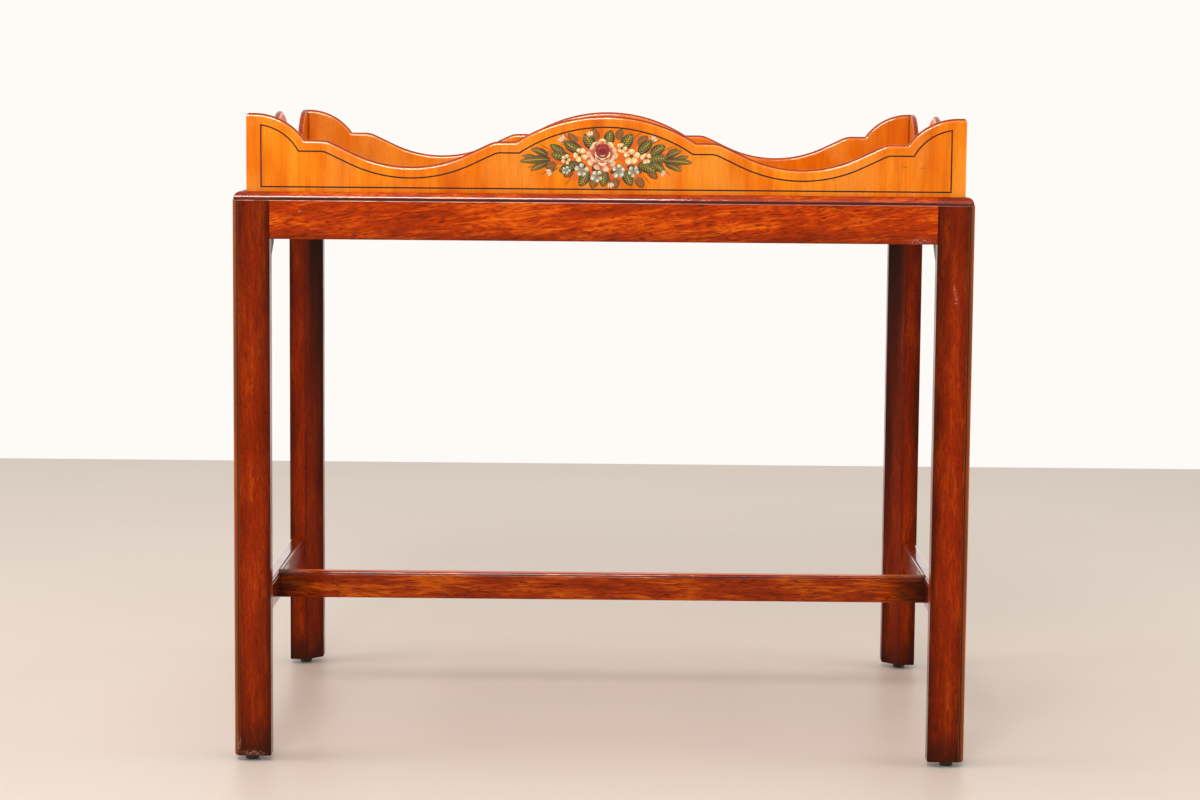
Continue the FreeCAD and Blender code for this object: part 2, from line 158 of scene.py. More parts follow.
class Field:
    """What a shader node gives out over a surface. Adding or comparing fields makes Math nodes."""

    def __init__(self, tree, socket):
        self.tree = tree
        self.socket = socket

    def __add__(self, other):
        return maths("ADD", self, other)

    def __radd__(self, other):
        return maths("ADD", other, self)

    def __sub__(self, other):
        return maths("SUBTRACT", self, other)

    def __rsub__(self, other):
        return maths("SUBTRACT", other, self)

    def __mul__(self, other):
        return maths("MULTIPLY", self, other)

    def __truediv__(self, other):
        return maths("DIVIDE", self, other)

    def __gt__(self, other):
        return maths("GREATER_THAN", self, other)

    def __lt__(self, other):
        return maths("LESS_THAN", self, other)

    def __abs__(self):
        return maths("ABSOLUTE", self)


def add(tree, kind, inputs=None, **options):
    """A node with its options, its inputs linked or filled in by name or number."""
    node = tree.nodes.new(kind)
    for key, value in options.items():
        setattr(node, key, value)
    for socket, value in (inputs or {}).items():
        if isinstance(value, Field):
            tree.links.new(value.socket, node.inputs[socket])
        else:
            node.inputs[socket].default_value = value
    return node


def field(tree, kind, inputs=None, output=0, **options):
    """What a new node gives out."""
    return Field(tree, add(tree, kind, inputs, **options).outputs[output])


def maths(operation, *values):
    """Numbers and fields brought together."""
    tree = next(value.tree for value in values if isinstance(value, Field))
    return field(tree, "ShaderNodeMath", dict(enumerate(values)), operation=operation)


def vectors(operation, first, second=(0.0, 0.0, 0.0), output=0):
    """A place or direction brought together with another."""
    return field(first.tree, "ShaderNodeVectorMath", {0: first, 1: second}, output, operation=operation)


def axes(place):
    """The X, Y and Z of a place or direction."""
    node = add(place.tree, "ShaderNodeSeparateXYZ", {0: place})
    return [Field(place.tree, socket) for socket in node.outputs]


def even(size):
    """The same size in X, Y and Z."""
    return (size,) * 3


def mottle(place, sizes, detail=2.0, offset=0.0, output="Fac"):
    """Noise from 0 to 1 whose blotches have the given size in X, Y and Z."""
    scaled = field(place.tree, "ShaderNodeMapping", {
        "Vector": place, "Scale": [1 / size for size in sizes], "Location": even(offset)})
    return field(place.tree, "ShaderNodeTexNoise", {
        "Vector": scaled, "Scale": 1.0, "Detail": detail}, output)


def remapped(value, low, high, new_low, new_high):
    """A value taken from one range to another, and never outside it."""
    return field(value.tree, "ShaderNodeMapRange", {
        "Value": value, "From Min": low, "From Max": high, "To Min": new_low, "To Max": new_high})


def fading(value, full, none, most=1.0):
    """A factor that is at its most where a value reaches full, and nothing where it reaches none."""
    return remapped(value, none, full, 0.0, most)


def uneven(place, value, sizes, amount):
    """A value pushed about by blotches, so that a line drawn by it isn't straight."""
    return value + (mottle(place, sizes, 3.0, 2.1) - 0.5) * amount


def ramp(value, *stops):
    """A colour ramp over a field: each stop is a place and a colour, or a place and a grey."""
    node = add(value.tree, "ShaderNodeValToRGB", {"Fac": value})
    elements = node.color_ramp.elements
    while len(elements) < len(stops):
        elements.new(0.5)
    for element, (place, tint) in zip(elements, stops):
        element.position = place
        element.color = (*tint, 1.0) if hasattr(tint, "__len__") else (*even(tint), 1.0)
    return Field(value.tree, node.outputs["Color"])


def mixed(factor, first, second, blend="MIX"):
    """A colour field mixed by a factor with another one, or with a plain colour."""
    second = second if isinstance(second, Field) else (*second, 1.0)
    return field(first.tree, "ShaderNodeMix", {MIX_FACTOR: factor, MIX_FIRST: first, MIX_SECOND: second},
                 MIXED_COLOUR, data_type="RGBA", blend_type=blend)


def toned(tint, tone):
    """A colour made darker or lighter channel by channel."""
    return [value * part for value, part in zip(tint, tone)]


def new_material(name):
    """An empty material, and the places on the object that wears it."""
    material = bpy.data.materials.new(name)
    material.use_nodes = True
    material.node_tree.nodes.clear()
    return material, field(material.node_tree, "ShaderNodeTexCoord", output="Object")


def bumped(height, strength, distance):
    """The slopes of a surface whose height varies."""
    return field(height.tree, "ShaderNodeBump", {
        "Height": height, "Strength": strength, "Distance": distance})


def principled(tint, roughness, sockets):
    """A shader with a colour, a roughness and what else is set on its sockets."""
    return field(tint.tree, "ShaderNodeBsdfPrincipled", {
        "Base Color": tint, "Roughness": roughness, **sockets})


def finish_off(shader):
    """Ends a material with its shader."""
    add(shader.tree, "ShaderNodeOutputMaterial", {"Surface": shader})


# ================================================================== wood
# A layer of the grain: the length and width of a streak, the detail and offset of its noise, and its
# share of the body colour.
Layer = namedtuple("Layer", "run width detail offset share")
PATCHES = Layer(60.0 * MM, 16.0 * MM, 2.0, 2.7, 0.42)
STREAKS = Layer(36.0 * MM, 3.0 * MM, 4.0, 5.1, 0.38)
CURLS = Layer(8.5 * MM, 1.6 * MM, 3.0, 1.6, 0.2)
PORES = Layer(5.5 * MM, 0.4 * MM, 1.0, 8.3, 0.0)
SHEETS = Layer(900.0 * MM, 75.0 * MM, 1.0, 3.1, 0.34)
RIBBON = Layer(160.0 * MM, 9.0 * MM, 2.0, 7.4, 0.26)
LINES = Layer(50.0 * MM, 1.4 * MM, 2.0, 1.9, 0.12)
FLAME = Layer(55.0 * MM, 20.0 * MM, 2.0, 6.2, 0.24)
BLOOM = Layer(90.0 * MM, 40.0 * MM, 2.0, 6.7, 0.0)
COLUMNS = Layer(45.0 * MM, 4.2 * MM, 2.0, 5.7, 0.0)
FLECKS = Layer(8.0 * MM, 0.5 * MM, 1.0, 9.2, 0.0)
MAHOGANY_SPREAD = 0.16

POLISH_TINT = (1.0, 0.6, 0.34, 1.0)
GLOSSIEST, DULLEST = -0.06, 0.08
# Pale worn polish for bruises, also the colour of the painted highlight under the rim.
WORN_POLISH_AND_HIGHLIGHT = from_screen(206, 150, 128)
# Dark old dirt for scratches, also the colour of the painted shade in the corners of the tray.
OLD_DIRT_AND_SHADE = from_screen(84, 34, 10)
CORNER_SHADE_REACH = 2.2 * MM
BRUISE_DEPTH = 4.0 * MM

# The weight of the clear coat, against how far a surface faces up.
COAT_ON_RIMS = ((0.06, 0.04), (0.2, 0.9), (0.42, 0.9), (0.6, 0.04))
COAT_ON_BOARDS = ((0.12, 0.06), (0.24, 0.9), (0.36, 0.85), (0.46, 0.1))
COAT_ON_SIDE_STRETCHERS = ((0.0, 0.85), (0.5, 1.0))
COAT_ON_CENTRE_STRETCHER = ((0.06, 0.1), (0.2, 1.0), (0.9, 1.0), (0.97, 0.0))


def grain_sizes(along, run, width):
    """The size of a streak in X, Y and Z, when the grain runs along one of them."""
    return [run if axis == along else width for axis in range(3)]


def grain(flow, along, layer, run=1.0, width=1.0):
    """One layer of the grain, its streaks drawn out by a run and spread by a width."""
    sizes = grain_sizes(along, layer.run * run, layer.width * width)
    return mottle(flow, sizes, layer.detail, layer.offset)


def slanted(place, along, degrees):
    """Places turned about the level axis across the grain, so that the figure rises along a rail."""
    angles = [0.0, 0.0, 0.0]
    angles[Y_AXIS if along == X_AXIS else X_AXIS] = math.radians(degrees)
    return field(place.tree, "ShaderNodeMapping", {"Vector": place, "Rotation": angles})


def wandering(place, sizes, amount):
    """Places pushed about by a slow noise, so that straight grain wanders."""
    push = vectors("SUBTRACT", mottle(place, sizes, 1.0, output="Color"), even(0.5))
    return vectors("ADD", place, vectors("MULTIPLY", push, even(amount)))


def bruises(node, *spots):
    """Bruises on the front of a node: place along and up, half width and half height, in millimetres."""
    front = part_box(node)[0].y
    return [(Vector((x * MM, front, z * MM)), Vector((width * MM, BRUISE_DEPTH, height * MM)))
            for x, z, width, height in spots]


def bruised(place, marks):
    """A factor that is 1 in the middle of each bruise and 0 outside it."""
    total = 0.0
    for centre, size in marks:
        offset = vectors("DIVIDE", vectors("SUBTRACT", place, centre), size)
        total = maths("MAXIMUM", fading(vectors("LENGTH", offset, output="Value"), 0.4, 1.0), total)
    return total


def polished(tint, place, height, roughness_middle, coat=COAT_ON_BOARDS, painted_shade=0.0, specular=0.24):
    """French polish over a colour: its gloss varies, is best on mouldings and goes dull where painted shade
    lies.
    """
    upward = axes(field(place.tree, "ShaderNodeNewGeometry", output="Normal"))[Z_AXIS]
    roughness = remapped(mottle(place, even(50 * MM), 3.0, 1.3), 0.3, 0.7,
                         roughness_middle + GLOSSIEST, roughness_middle + DULLEST)
    slopes = bumped(height, 0.12, 0.4 * MM)
    finish_off(principled(tint, roughness + painted_shade * 0.35, {
        "Normal": slopes, "Specular IOR Level": specular, "Specular Tint": POLISH_TINT,
        "Coat Weight": ramp(upward, *coat) * (1.0 - painted_shade), "Coat Roughness": 0.04, "Coat IOR": 1.6,
        "Coat Normal": slopes}))


def mahogany(name, along, tone=(1.0, 1.0, 1.0), contrast=1.0, slant=0.0, run=1.0, pore=1.0, shading=None,
             marks=(), coat=COAT_ON_RIMS, specular=0.12):
    """French-polished mahogany with its grain along one axis, its streaks drawn out by the run."""
    look = settings().stand
    material, place = new_material(name)
    flow = wandering(slanted(place, along, slant), grain_sizes(along, 50 * MM, 20 * MM), 8 * MM)
    curls = grain(flow, along, CURLS, run)
    body = (grain(flow, along, PATCHES) * PATCHES.share + grain(flow, along, STREAKS, run) * STREAKS.share
            + curls * CURLS.share)
    dark, ground, bright = (toned(tint, tone) for tint in (
        look.dark_grain, look.ground, look.bright_grain))
    shade = [(low + middle) / 2 for low, middle in zip(dark, ground)]
    spread = MAHOGANY_SPREAD / contrast
    tint = ramp(body, (0.5 - spread, shade), (0.5, ground), (0.5 + spread, bright))
    tint = mixed(ramp(curls, (0.33, 0.6 * min(contrast, 1.0)), (0.48, 0.0)), tint, shade)
    between_pores = ramp(grain(flow, along, PORES, pore, pore), (0.33, 0.0), (0.42, 1.0))
    tint = mixed((1.0 - between_pores) * 0.8, tint, dark)
    painted_shade = 0.0
    if shading:
        tint, painted_shade = shading(place, tint)
    if marks:
        speckle = ramp(mottle(place, (1.1 * MM, 1.1 * MM, 2.4 * MM), 3.0), (0.5, 0.0), (0.62, 1.0))
        tint = mixed(bruised(place, marks) * speckle * 0.6, tint, WORN_POLISH_AND_HIGHLIGHT)
    height = between_pores * 0.25 + mottle(place, even(12 * MM), 2.0, 4.4)
    polished(tint, place, height, look.gloss, coat, painted_shade, specular)
    return material


def satinwood(name, along=Z_AXIS, tone=(1.0, 1.0, 1.0), painted_shade=None, marks=()):
    """Satinwood veneer with its ribbon figure along one axis."""
    look = settings().tray
    material, place = new_material(name)
    flow = wandering(place, grain_sizes(along, 120 * MM, 50 * MM), 6 * MM)
    body = sum(grain(flow, along, layer) * layer.share for layer in (SHEETS, RIBBON, LINES, FLAME))
    dark, middle, light, gold, olive = (toned(tint, tone) for tint in (
        look.satinwood_dark, look.satinwood, look.satinwood_light, look.satinwood_gold,
        look.satinwood_olive))
    tint = ramp(body, (0.38, dark), (0.5, middle), (0.61, light))
    tint = mixed(ramp(grain(flow, along, BLOOM), (0.48, 0.0), (0.64, 0.42)), tint, gold)
    tint = mixed(ramp(grain(flow, along, COLUMNS), (0.54, 0.0), (0.7, 0.28)), tint, olive)
    between_flecks = ramp(grain(flow, along, FLECKS), (0.30, 0.0), (0.40, 1.0))
    tint = mixed((1.0 - between_flecks) * 0.5, tint, dark)
    # Painted shade, laid on in the dark dirt colour.
    if painted_shade:
        tint = mixed(painted_shade(place), tint, OLD_DIRT_AND_SHADE)
    if marks:
        tint = mixed(bruised(place, marks) * 0.5, tint, OLD_DIRT_AND_SHADE)
    height = between_flecks * 0.2 + mottle(place, even(16 * MM), 2.0, 4.4)
    polished(tint, place, height, look.gloss)
    return material


def corner_shade(place):
    """Painted shade in the inside corners of the tray, between the boards and along the floor."""
    low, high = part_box("tray_floor")
    middle = (low + high) / 2
    x, y, level = axes(place)
    gaps = [(board.length / 2 - BOARD_THICKNESS) * MM - abs(across - centre)
            for board, across, centre in ((LONG_BOARD, x, middle.x), (SHORT_BOARD, y, middle.y))]
    gap = maths("MINIMUM", maths("MAXIMUM", *gaps), level - high.z)
    return fading(gap, full=0.0, none=CORNER_SHADE_REACH, most=0.95)


# ================================================================== wear, painted light and shade of the stand
# Each shading takes places and a colour, and gives back the colour with painted light and shade, and how
# dull its gloss goes.
RIM_HEIGHT = 8.6 * MM
RIM_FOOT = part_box("apron_front")[1].z - RIM_HEIGHT
RUBBED_BELOW = RIM_FOOT + 0.6 * MM
# Height of the painted highlight line under the rim.
HIGHLIGHT_BAND = 0.9 * MM
TOUCHING = 0.05 * MM
LEG_BEAD = 6.0 * MM
LEG_BEAD_LEDGE = 1.6 * MM
# How far into the bead the painted shade of the groove reaches.
LEG_BEAD_SHADE = 4.3 * MM
LEG_CHAMFER = 20.0 * MM
# The leg on the positive side of X and Y. The others are its mirror images.
LEG = "leg_back_right"


def highlight_under_rim(place, tint):
    """A painted highlight: a pale broken line along the edge under the rim, brightest on the left where the
    light falls.
    """
    x, _, level = axes(place)
    band = (level > RIM_FOOT - HIGHLIGHT_BAND) * (level < RIM_FOOT + TOUCHING)
    patchy = ramp(mottle(place, even(16 * MM), 3.0, 7.7), (0.34, 0.25), (0.58, 1.0))
    # The painted highlight is strongest on the left, where the light falls.
    leftward = fading(x, full=-0.3, none=0.2, most=0.55) + 0.35
    return mixed(band * (patchy * leftward), tint, WORN_POLISH_AND_HIGHLIGHT)


def apron_shading(place, tint):
    """Painted shade in the wax colour from the quirk up the foot of the bead of an apron, and darker along
    its lower edge.
    """
    wax_and_shade = settings().stand.wax_and_shade
    low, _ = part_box("apron_front")
    level = axes(place)[Z_AXIS]
    # Painted shade: the foot of the bead just above the quirk is darkened, and its gloss dulled too.
    quirk_shade = fading(level, full=RIM_FOOT + 2.0 * MM, none=RIM_FOOT + 3.2 * MM, most=0.9)
    quirk_shade = (level > RIM_FOOT + 0.1 * MM) * quirk_shade
    tint = mixed(quirk_shade, tint, wax_and_shade)
    foot = uneven(place, level, (12 * MM, 12 * MM, 6 * MM), 12 * MM)
    tint = mixed(fading(foot, full=low.z, none=low.z + 14 * MM, most=0.42), tint, wax_and_shade)
    return highlight_under_rim(place, tint), quirk_shade


def centre_stretcher_shading(place, tint):
    """Painted shade where the centre stretcher meets the side stretchers, and painted light on its top face.
    """
    look = settings().stand
    _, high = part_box("centre_stretcher")
    x, _, level = axes(place)
    # Painted light: the top face laid lighter in the rubbed wood colour.
    tint = mixed((level > high.z - 0.2 * MM) * 0.7, tint, look.rubbed)
    across = uneven(place, abs(x), (30 * MM, 30 * MM, 11 * MM), 70 * MM)
    # Painted shade towards both ends, where the side stretchers meet it.
    shade_factor = fading(across, full=high.x - 12 * MM, none=high.x - 60 * MM, most=0.85)
    return mixed(shade_factor, tint, look.wax_and_shade), shade_factor


def side_stretcher_shading(place, tint):
    """Painted shade on the inner faces of the side stretchers, most of all round the joint."""
    low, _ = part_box("side_stretcher_right")
    x, y, _ = axes(place)
    joint = uneven(place, abs(y), even(20 * MM), 30 * MM)
    # Painted shade on the inner faces, strongest round the joint with the centre stretcher.
    shade_factor = fading(abs(x), full=low.x, none=low.x + 0.6 * MM)
    shade_factor = shade_factor * fading(joint, full=20 * MM, none=100 * MM, most=0.8)
    return mixed(shade_factor, tint, settings().stand.wax_and_shade), 0.0


def painted_leg_light(place, across, level, tint):
    """The colour of a leg with a painted highlight down the middle of each face, painted shade towards its
    arrises, and darker towards its ends.
    """
    low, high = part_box(LEG)
    away = [abs(across[axis] - (low[axis] + high[axis]) / 2) / ((high[axis] - low[axis]) / 2)
            for axis in (X_AXIS, Y_AXIS)]
    normal = axes(field(place.tree, "ShaderNodeNewGeometry", output="True Normal"))
    faces_side = abs(normal[X_AXIS]) > SQUARELY
    over_face = away[X_AXIS] + (away[Y_AXIS] - away[X_AXIS]) * faces_side
    over_face = uneven(place, over_face, (14 * MM, 14 * MM, 110 * MM), 1.1)
    # Painted highlight down the middle of each face, painted shade towards its arrises.
    shaded = mixed(1.0, tint, ramp(over_face, (0.1, 1.16), (0.55, 0.86), (0.95, 0.34)), "MULTIPLY")
    # Darker towards the foot, and painted shade towards the top under the rim.
    ends = ramp(level / high.z, (0.012, 0.4), (0.06, 0.72), (0.34, 1.0), (0.7, 0.94), (1.0, 0.64))
    return mixed(1.0, shaded, ends, "MULTIPLY")


def chamfer_shade(across, level):
    """Painted shade on the inner chamfer of a leg, mostly high up, and how far each spot of it is sheltered.
    """
    low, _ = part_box(LEG)
    inset = [across[axis] - low[axis] for axis in (X_AXIS, Y_AXIS)]
    corner = inset[X_AXIS] + inset[Y_AXIS]
    on_chamfer = corner < LEG_CHAMFER + 0.5 * MM
    inner = fading(inset[X_AXIS], full=LEG_CHAMFER * 0.65, none=LEG_CHAMFER * 1.05)
    outer = fading(inset[X_AXIS], full=LEG_CHAMFER, none=LEG_CHAMFER * 0.6, most=0.5)
    beside = fading(corner, full=LEG_CHAMFER, none=LEG_CHAMFER + 7.0 * MM, most=0.5)
    sheltered = on_chamfer * inner + beside * (1.0 - on_chamfer)
    high_up = fading(level, full=0.52, none=0.16, most=0.92)
    return maths("MAXIMUM", sheltered * high_up, on_chamfer * outer), sheltered


def bead_wear_and_light(place, across, below_rim, tint):
    """The bead on the outer corner of a leg: rubbed lighter, with painted shade where it is deep and painted
    highlights on its ledges.
    """
    look = settings().stand
    _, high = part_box(LEG)
    bead, edge, foot, groove_shade = [], [], [], []
    for axis in (X_AXIS, Y_AXIS):
        bead.append(across[axis] > high[axis] - LEG_BEAD)
        edge.append(across[axis] > high[axis] - LEG_BEAD_LEDGE)
        foot.append(across[axis] < high[axis] - LEG_BEAD + 0.4 * MM)
        groove_shade.append(across[axis] < high[axis] - LEG_BEAD_SHADE)
    bead = bead[X_AXIS] * bead[Y_AXIS] * below_rim
    ledge = bead * maths("MAXIMUM", edge[X_AXIS] * foot[Y_AXIS], edge[Y_AXIS] * foot[X_AXIS])
    highlight_patches = ramp(mottle(place, (10 * MM, 10 * MM, 90 * MM), 3.0, 3.8), (0.3, 0.08), (0.7, 0.5))
    # The bead laid a little lighter, partly wear and partly painted light.
    tint = mixed(bead * 0.15, tint, look.rubbed)
    # Painted shade in the deep part of the bead beside the quirk.
    tint = mixed(bead * maths("MAXIMUM", *groove_shade) * 0.85, tint, look.wax_and_shade)
    # Painted highlights on the narrow ledges of the bead.
    return mixed(ledge * (highlight_patches + 0.3), tint, look.rubbed)


def leg_shading(place, tint):
    """A leg with painted light and shade: painted shade at its arrises and inner chamfer, darker at its
    foot, painted highlights on its outer bead.
    """
    wax_and_shade = settings().stand.wax_and_shade
    low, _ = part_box(LEG)
    x, y, level = axes(place)
    across = (abs(x), abs(y))
    below_rim = level < RIM_FOOT
    tint = mixed(below_rim, tint, painted_leg_light(place, across, level, tint))
    # Darker towards the foot.
    lowest = uneven(place, level, (12 * MM, 12 * MM, 20 * MM), 70 * MM)
    tint = mixed(fading(lowest, full=low.z + 4 * MM, none=low.z + 40 * MM, most=0.6), tint, wax_and_shade)
    # Painted shade on the inner chamfer, mostly high up.
    shade_factor, sheltered = chamfer_shade(across, level)
    tint = bead_wear_and_light(place, across, below_rim, mixed(shade_factor, tint, wax_and_shade))
    return highlight_under_rim(place, tint), sheltered * 0.6


# ================================================================== other finishes
def quirk_wax_and_shade(name):
    """Dark wax in the quirks, laid on darker as painted shade in these recesses."""
    wax_and_shade = settings().stand.wax_and_shade
    material, place = new_material(name)
    grime = mottle(place, even(9 * MM), 3.0)
    tint = ramp(grime, (0.35, wax_and_shade), (0.72, toned(wax_and_shade, even(2.2))))
    finish_off(principled(tint, ramp(grime, (0.3, 0.42), (0.7, 0.6)), {"Specular IOR Level": 0.3}))
    return material


def string_black(name):
    """Black-dyed stringing under the polish, rubbed through to brown here and there."""
    string = settings().tray.string
    material, place = new_material(name)
    highlight_patches = mottle(place, even(18 * MM), 3.0, 3.3)
    fibre = mottle(place, even(4 * MM), 2.0, 6.1)
    tint = ramp(highlight_patches, (0.45, string), (0.78, toned(string, even(2.4))))
    finish_off(principled(tint, ramp(fibre, (0.3, 0.26), (0.7, 0.4)), {
        "Normal": bumped(fibre, 0.15, 0.1 * MM), "Specular IOR Level": 0.2}))
    return material


def glide_rubber(name):
    """Moulded black glide, dusty and scuffed."""
    material, place = new_material(name)
    dust = mottle(place, even(3 * MM), 4.0)
    tint = ramp(dust, (0.4, from_screen(22, 21, 21)), (0.8, from_screen(74, 68, 62)))
    finish_off(principled(tint, ramp(dust, (0.3, 0.45), (0.8, 0.8)), {
        "Normal": bumped(dust, 0.3, 0.2 * MM)}))
    return material


def bare_steel(name):
    """Plain wire nail."""
    material, place = new_material(name)
    draw = mottle(place, (0.6 * MM, 0.6 * MM, 6 * MM), 2.0)
    tint = ramp(draw, (0.3, (0.34, 0.33, 0.32)), (0.7, (0.56, 0.55, 0.54)))
    finish_off(principled(tint, ramp(draw, (0.3, 0.3), (0.7, 0.45)), {"Metallic": 1.0}))
    return material


def artist_paint(name):
    """Oil paint in thin strokes under an old varnish. Its colours lie on the strokes themselves."""
    material, place = new_material(name)
    laid = field(place.tree, "ShaderNodeVertexColor", output="Color", layer_name="paint")
    bristles = mottle(place, even(0.9 * MM), 2.0, 1.1)
    tint = mixed(1.0, laid, ramp(bristles, (0.3, 0.72), (0.7, 1.08)), "MULTIPLY")
    finish_off(principled(tint, ramp(bristles, (0.3, 0.34), (0.7, 0.46)), {
        "Normal": bumped(bristles, 0.2, 0.1 * MM), "Specular IOR Level": 0.35}))
    return material


# ================================================================== making pieces
ARRIS_LENGTH = 100.0 * MM
ARRIS_ANGLE = math.radians(40)
QUIRK_DEPTH = 3.0 * MM
QUIRK_WIDTH = 1.6 * MM
QUIRK_LENGTH = 15.0 * MM
QUIRK_ANGLE = math.radians(60)
FLAT_ANGLE = math.radians(0.5)
WELD = 0.001 * MM


def new_piece(mesh, materials, sharp_degrees=32.0):
    """An object for a mesh and named after it, smooth except where faces meet at more than an angle."""
    piece = bpy.data.objects.new(mesh.name, mesh)
    bpy.context.scene.collection.objects.link(piece)
    for material in materials:
        mesh.materials.append(material)
    mesh.shade_smooth()
    mesh.set_sharp_from_angle(angle=math.radians(sharp_degrees))
    weighting = piece.modifiers.new("flat faces stay flat", "WEIGHTED_NORMAL")
    weighting.keep_sharp = True
    return piece


def settle(piece, body, slot, *nodes):
    """Puts a finished piece on its body, in the place of the nodes it stands for."""
    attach(piece, body)
    if nodes:
        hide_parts(*nodes)


def is_arris(edge, below):
    """Whether an edge is a long outside corner under a height."""
    return (edge.is_manifold and edge.is_convex and edge.calc_length() > ARRIS_LENGTH
            and edge.calc_face_angle() > ARRIS_ANGLE
            and max(vertex.co.z for vertex in edge.verts) < below)


def is_quirk_face(face, low, high):
    """Whether a face is the narrow floor of a quirk: a long strip sunk a little below an outer face."""
    longest = max(edge.calc_length() for edge in face.edges)
    narrow = face.calc_area() / longest < QUIRK_WIDTH and longest > QUIRK_LENGTH
    inside = any(edge.is_manifold and not edge.is_convex and edge.calc_face_angle() > QUIRK_ANGLE
                 and edge.calc_length() > QUIRK_LENGTH for edge in face.edges)
    centre = face.calc_center_median()
    sunk = any(abs(face.normal[axis]) > SQUARELY
               and abs((high if face.normal[axis] > 0 else low)[axis] - centre[axis]) < QUIRK_DEPTH
               for axis in range(3))
    return narrow and inside and sunk


def finished_mesh(form, name):
    """The mesh of a finished form."""
    mesh = bpy.data.meshes.new(name)
    form.to_mesh(mesh)
    form.free()
    return mesh


def polish_stand_piece(node, wood, wax_and_shade, below=1.0):
    """Replaces a node with a clean copy: dark wax and painted shade in its quirks, and its long arrises
    rubbed up to a height.
    """
    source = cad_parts[node].data.copy()
    form = bmesh.new()
    form.from_mesh(source)
    bpy.data.meshes.remove(source)
    bmesh.ops.remove_doubles(form, verts=form.verts, dist=WELD)
    bmesh.ops.dissolve_limit(form, angle_limit=FLAT_ANGLE, verts=form.verts, edges=form.edges)
    for face in form.faces:
        # Quirk floors take the dark wax material, which also paints shade into these recesses.
        face.material_index = 1 if is_quirk_face(face, *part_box(node)) else 0
    bmesh.ops.bevel(form, geom=[edge for edge in form.edges if is_arris(edge, below)],
                    offset=settings().stand.arris_radius, offset_type="OFFSET",
                    segments=3, profile=0.5, affect="EDGES", clamp_overlap=False, material=-1)
    mesh = finished_mesh(form, "polished_" + node)
    old_normals = mesh.attributes.get("custom_normal")
    if old_normals is not None:
        mesh.attributes.remove(old_normals)
    settle(new_piece(mesh, (wood, wax_and_shade)), "stand", "stand_mahogany", node)


# ================================================================== gallery outline
def frame_size(node, axis):
    """How long a node is along an axis, in millimetres."""
    low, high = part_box(node)
    return round((high[axis] - low[axis]) / MM, 3)


# Millimetres above the seat of the tray, and along a board from its middle.
PEAK = frame_size("gallery_front", Z_AXIS)
SHOULDER = 60.0
DIP = 33.5
LOBE_LENGTH = 60.0
LOBE_FLAT = 8.0
SHOULDER_FLAT = 16.0
SWEEP_SHARE = 0.79
BOARD_THICKNESS = frame_size("gallery_front", Y_AXIS)
LIP_HEIGHT = 4.1
LIP_LAP = 3.5
STRING_INSET = 11.0
STRING_END_INSET = 14.4
STRING_WIDTH = 1.4
STRING_DEPTH = 0.5
HUMP_STEPS, ROUND_STEPS, DIP_STEPS, LOBE_STEPS = 30, 9, 26, 18

Board = namedtuple("Board", "length hump_length string_round")
LONG_BOARD = Board(frame_size("gallery_front", X_AXIS), 185.0, 15.6)
SHORT_BOARD = Board(frame_size("gallery_left", Y_AXIS), 130.0, 4.6)
BOARD_OF = {"front": LONG_BOARD, "right": SHORT_BOARD, "back": LONG_BOARD, "left": SHORT_BOARD}


def arc(centre_x, centre_z, radius, start, end, steps):
    """Points along an arc, from one angle to another."""
    angles = [start + (end - start) * step / (steps - 1) for step in range(steps)]
    return [(centre_x + radius * math.cos(angle), centre_z + radius * math.sin(angle)) for angle in angles]


def crest(half_span, inset):
    """The radius of a crest over a half span, and its run down to the shoulder when drawn in by an inset."""
    fall = PEAK - SHOULDER
    radius = (half_span ** 2 + fall ** 2) / (2 * fall)
    return radius, math.sqrt(fall * (2 * (radius - inset) - fall))


def half_outline(board, inset, reach):
    """The scalloped line from the middle of a board to its right end, drawn in by an inset."""
    up = math.pi / 2
    level = SHOULDER - inset
    radius, run = crest(board.hump_length / 2, inset)
    centre = PEAK - radius
    points = arc(0.0, centre, radius - inset, up, math.atan2(level - centre, run), HUMP_STEPS)
    inner = board.hump_length / 2 + SHOULDER_FLAT
    outer = board.length / 2 - LOBE_LENGTH - SHOULDER_FLAT
    half = (outer - inner) / 2
    fall = SHOULDER - DIP
    slope = 2 * math.atan(fall / half) * SWEEP_SHARE
    both_radii = (half * math.sin(slope) - fall * math.cos(slope)) / (1 - math.cos(slope))
    convex = min(board.string_round + STRING_INSET + STRING_WIDTH, both_radii / 2)
    hollow = both_radii - convex
    points += arc(inner, SHOULDER - convex, convex - inset, up, up - slope, ROUND_STEPS)
    points += arc((inner + outer) / 2, DIP + hollow, hollow + inset, -up - slope, -up + slope, DIP_STEPS)
    points += arc(outer, SHOULDER - convex, convex - inset, up + slope, up, ROUND_STEPS)
    radius, run = crest(LOBE_LENGTH - LOBE_FLAT, inset)
    crown = board.length / 2 - LOBE_FLAT
    centre = PEAK - radius
    end = up if reach > crown else math.acos((reach - crown) / (radius - inset))
    points += arc(crown, centre, radius - inset, math.atan2(level - centre, -run), end, LOBE_STEPS)
    if reach > crown:
        points.append((reach, PEAK - inset))
    return points


def outline(board, inset, reach):
    """The whole scalloped line from left to right."""
    right = half_outline(board, inset, reach)
    return [(-x, z) for x, z in reversed(right[1:])] + right


def level_row(points, height, reach):
    """A level line with the same columns as a row of points, stretched to its reach."""
    stretch = reach / points[-1][0]
    return [(x * stretch, height) for x, _ in points]


def stand_up(side, points):
    """Puts points drawn on the face of a board into the place of one side of the tray."""
    low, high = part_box("tray_floor")
    middle = (low + high) / 2
    across = (SHORT_BOARD if BOARD_OF[side] is LONG_BOARD else LONG_BOARD).length
    turn = Matrix.Rotation(math.pi / 2 * SIDES.index(side), 3, "Z")
    return [turn @ (Vector((x, y - across / 2, z)) * MM) + Vector((middle.x, middle.y, low.z))
            for x, y, z in points]


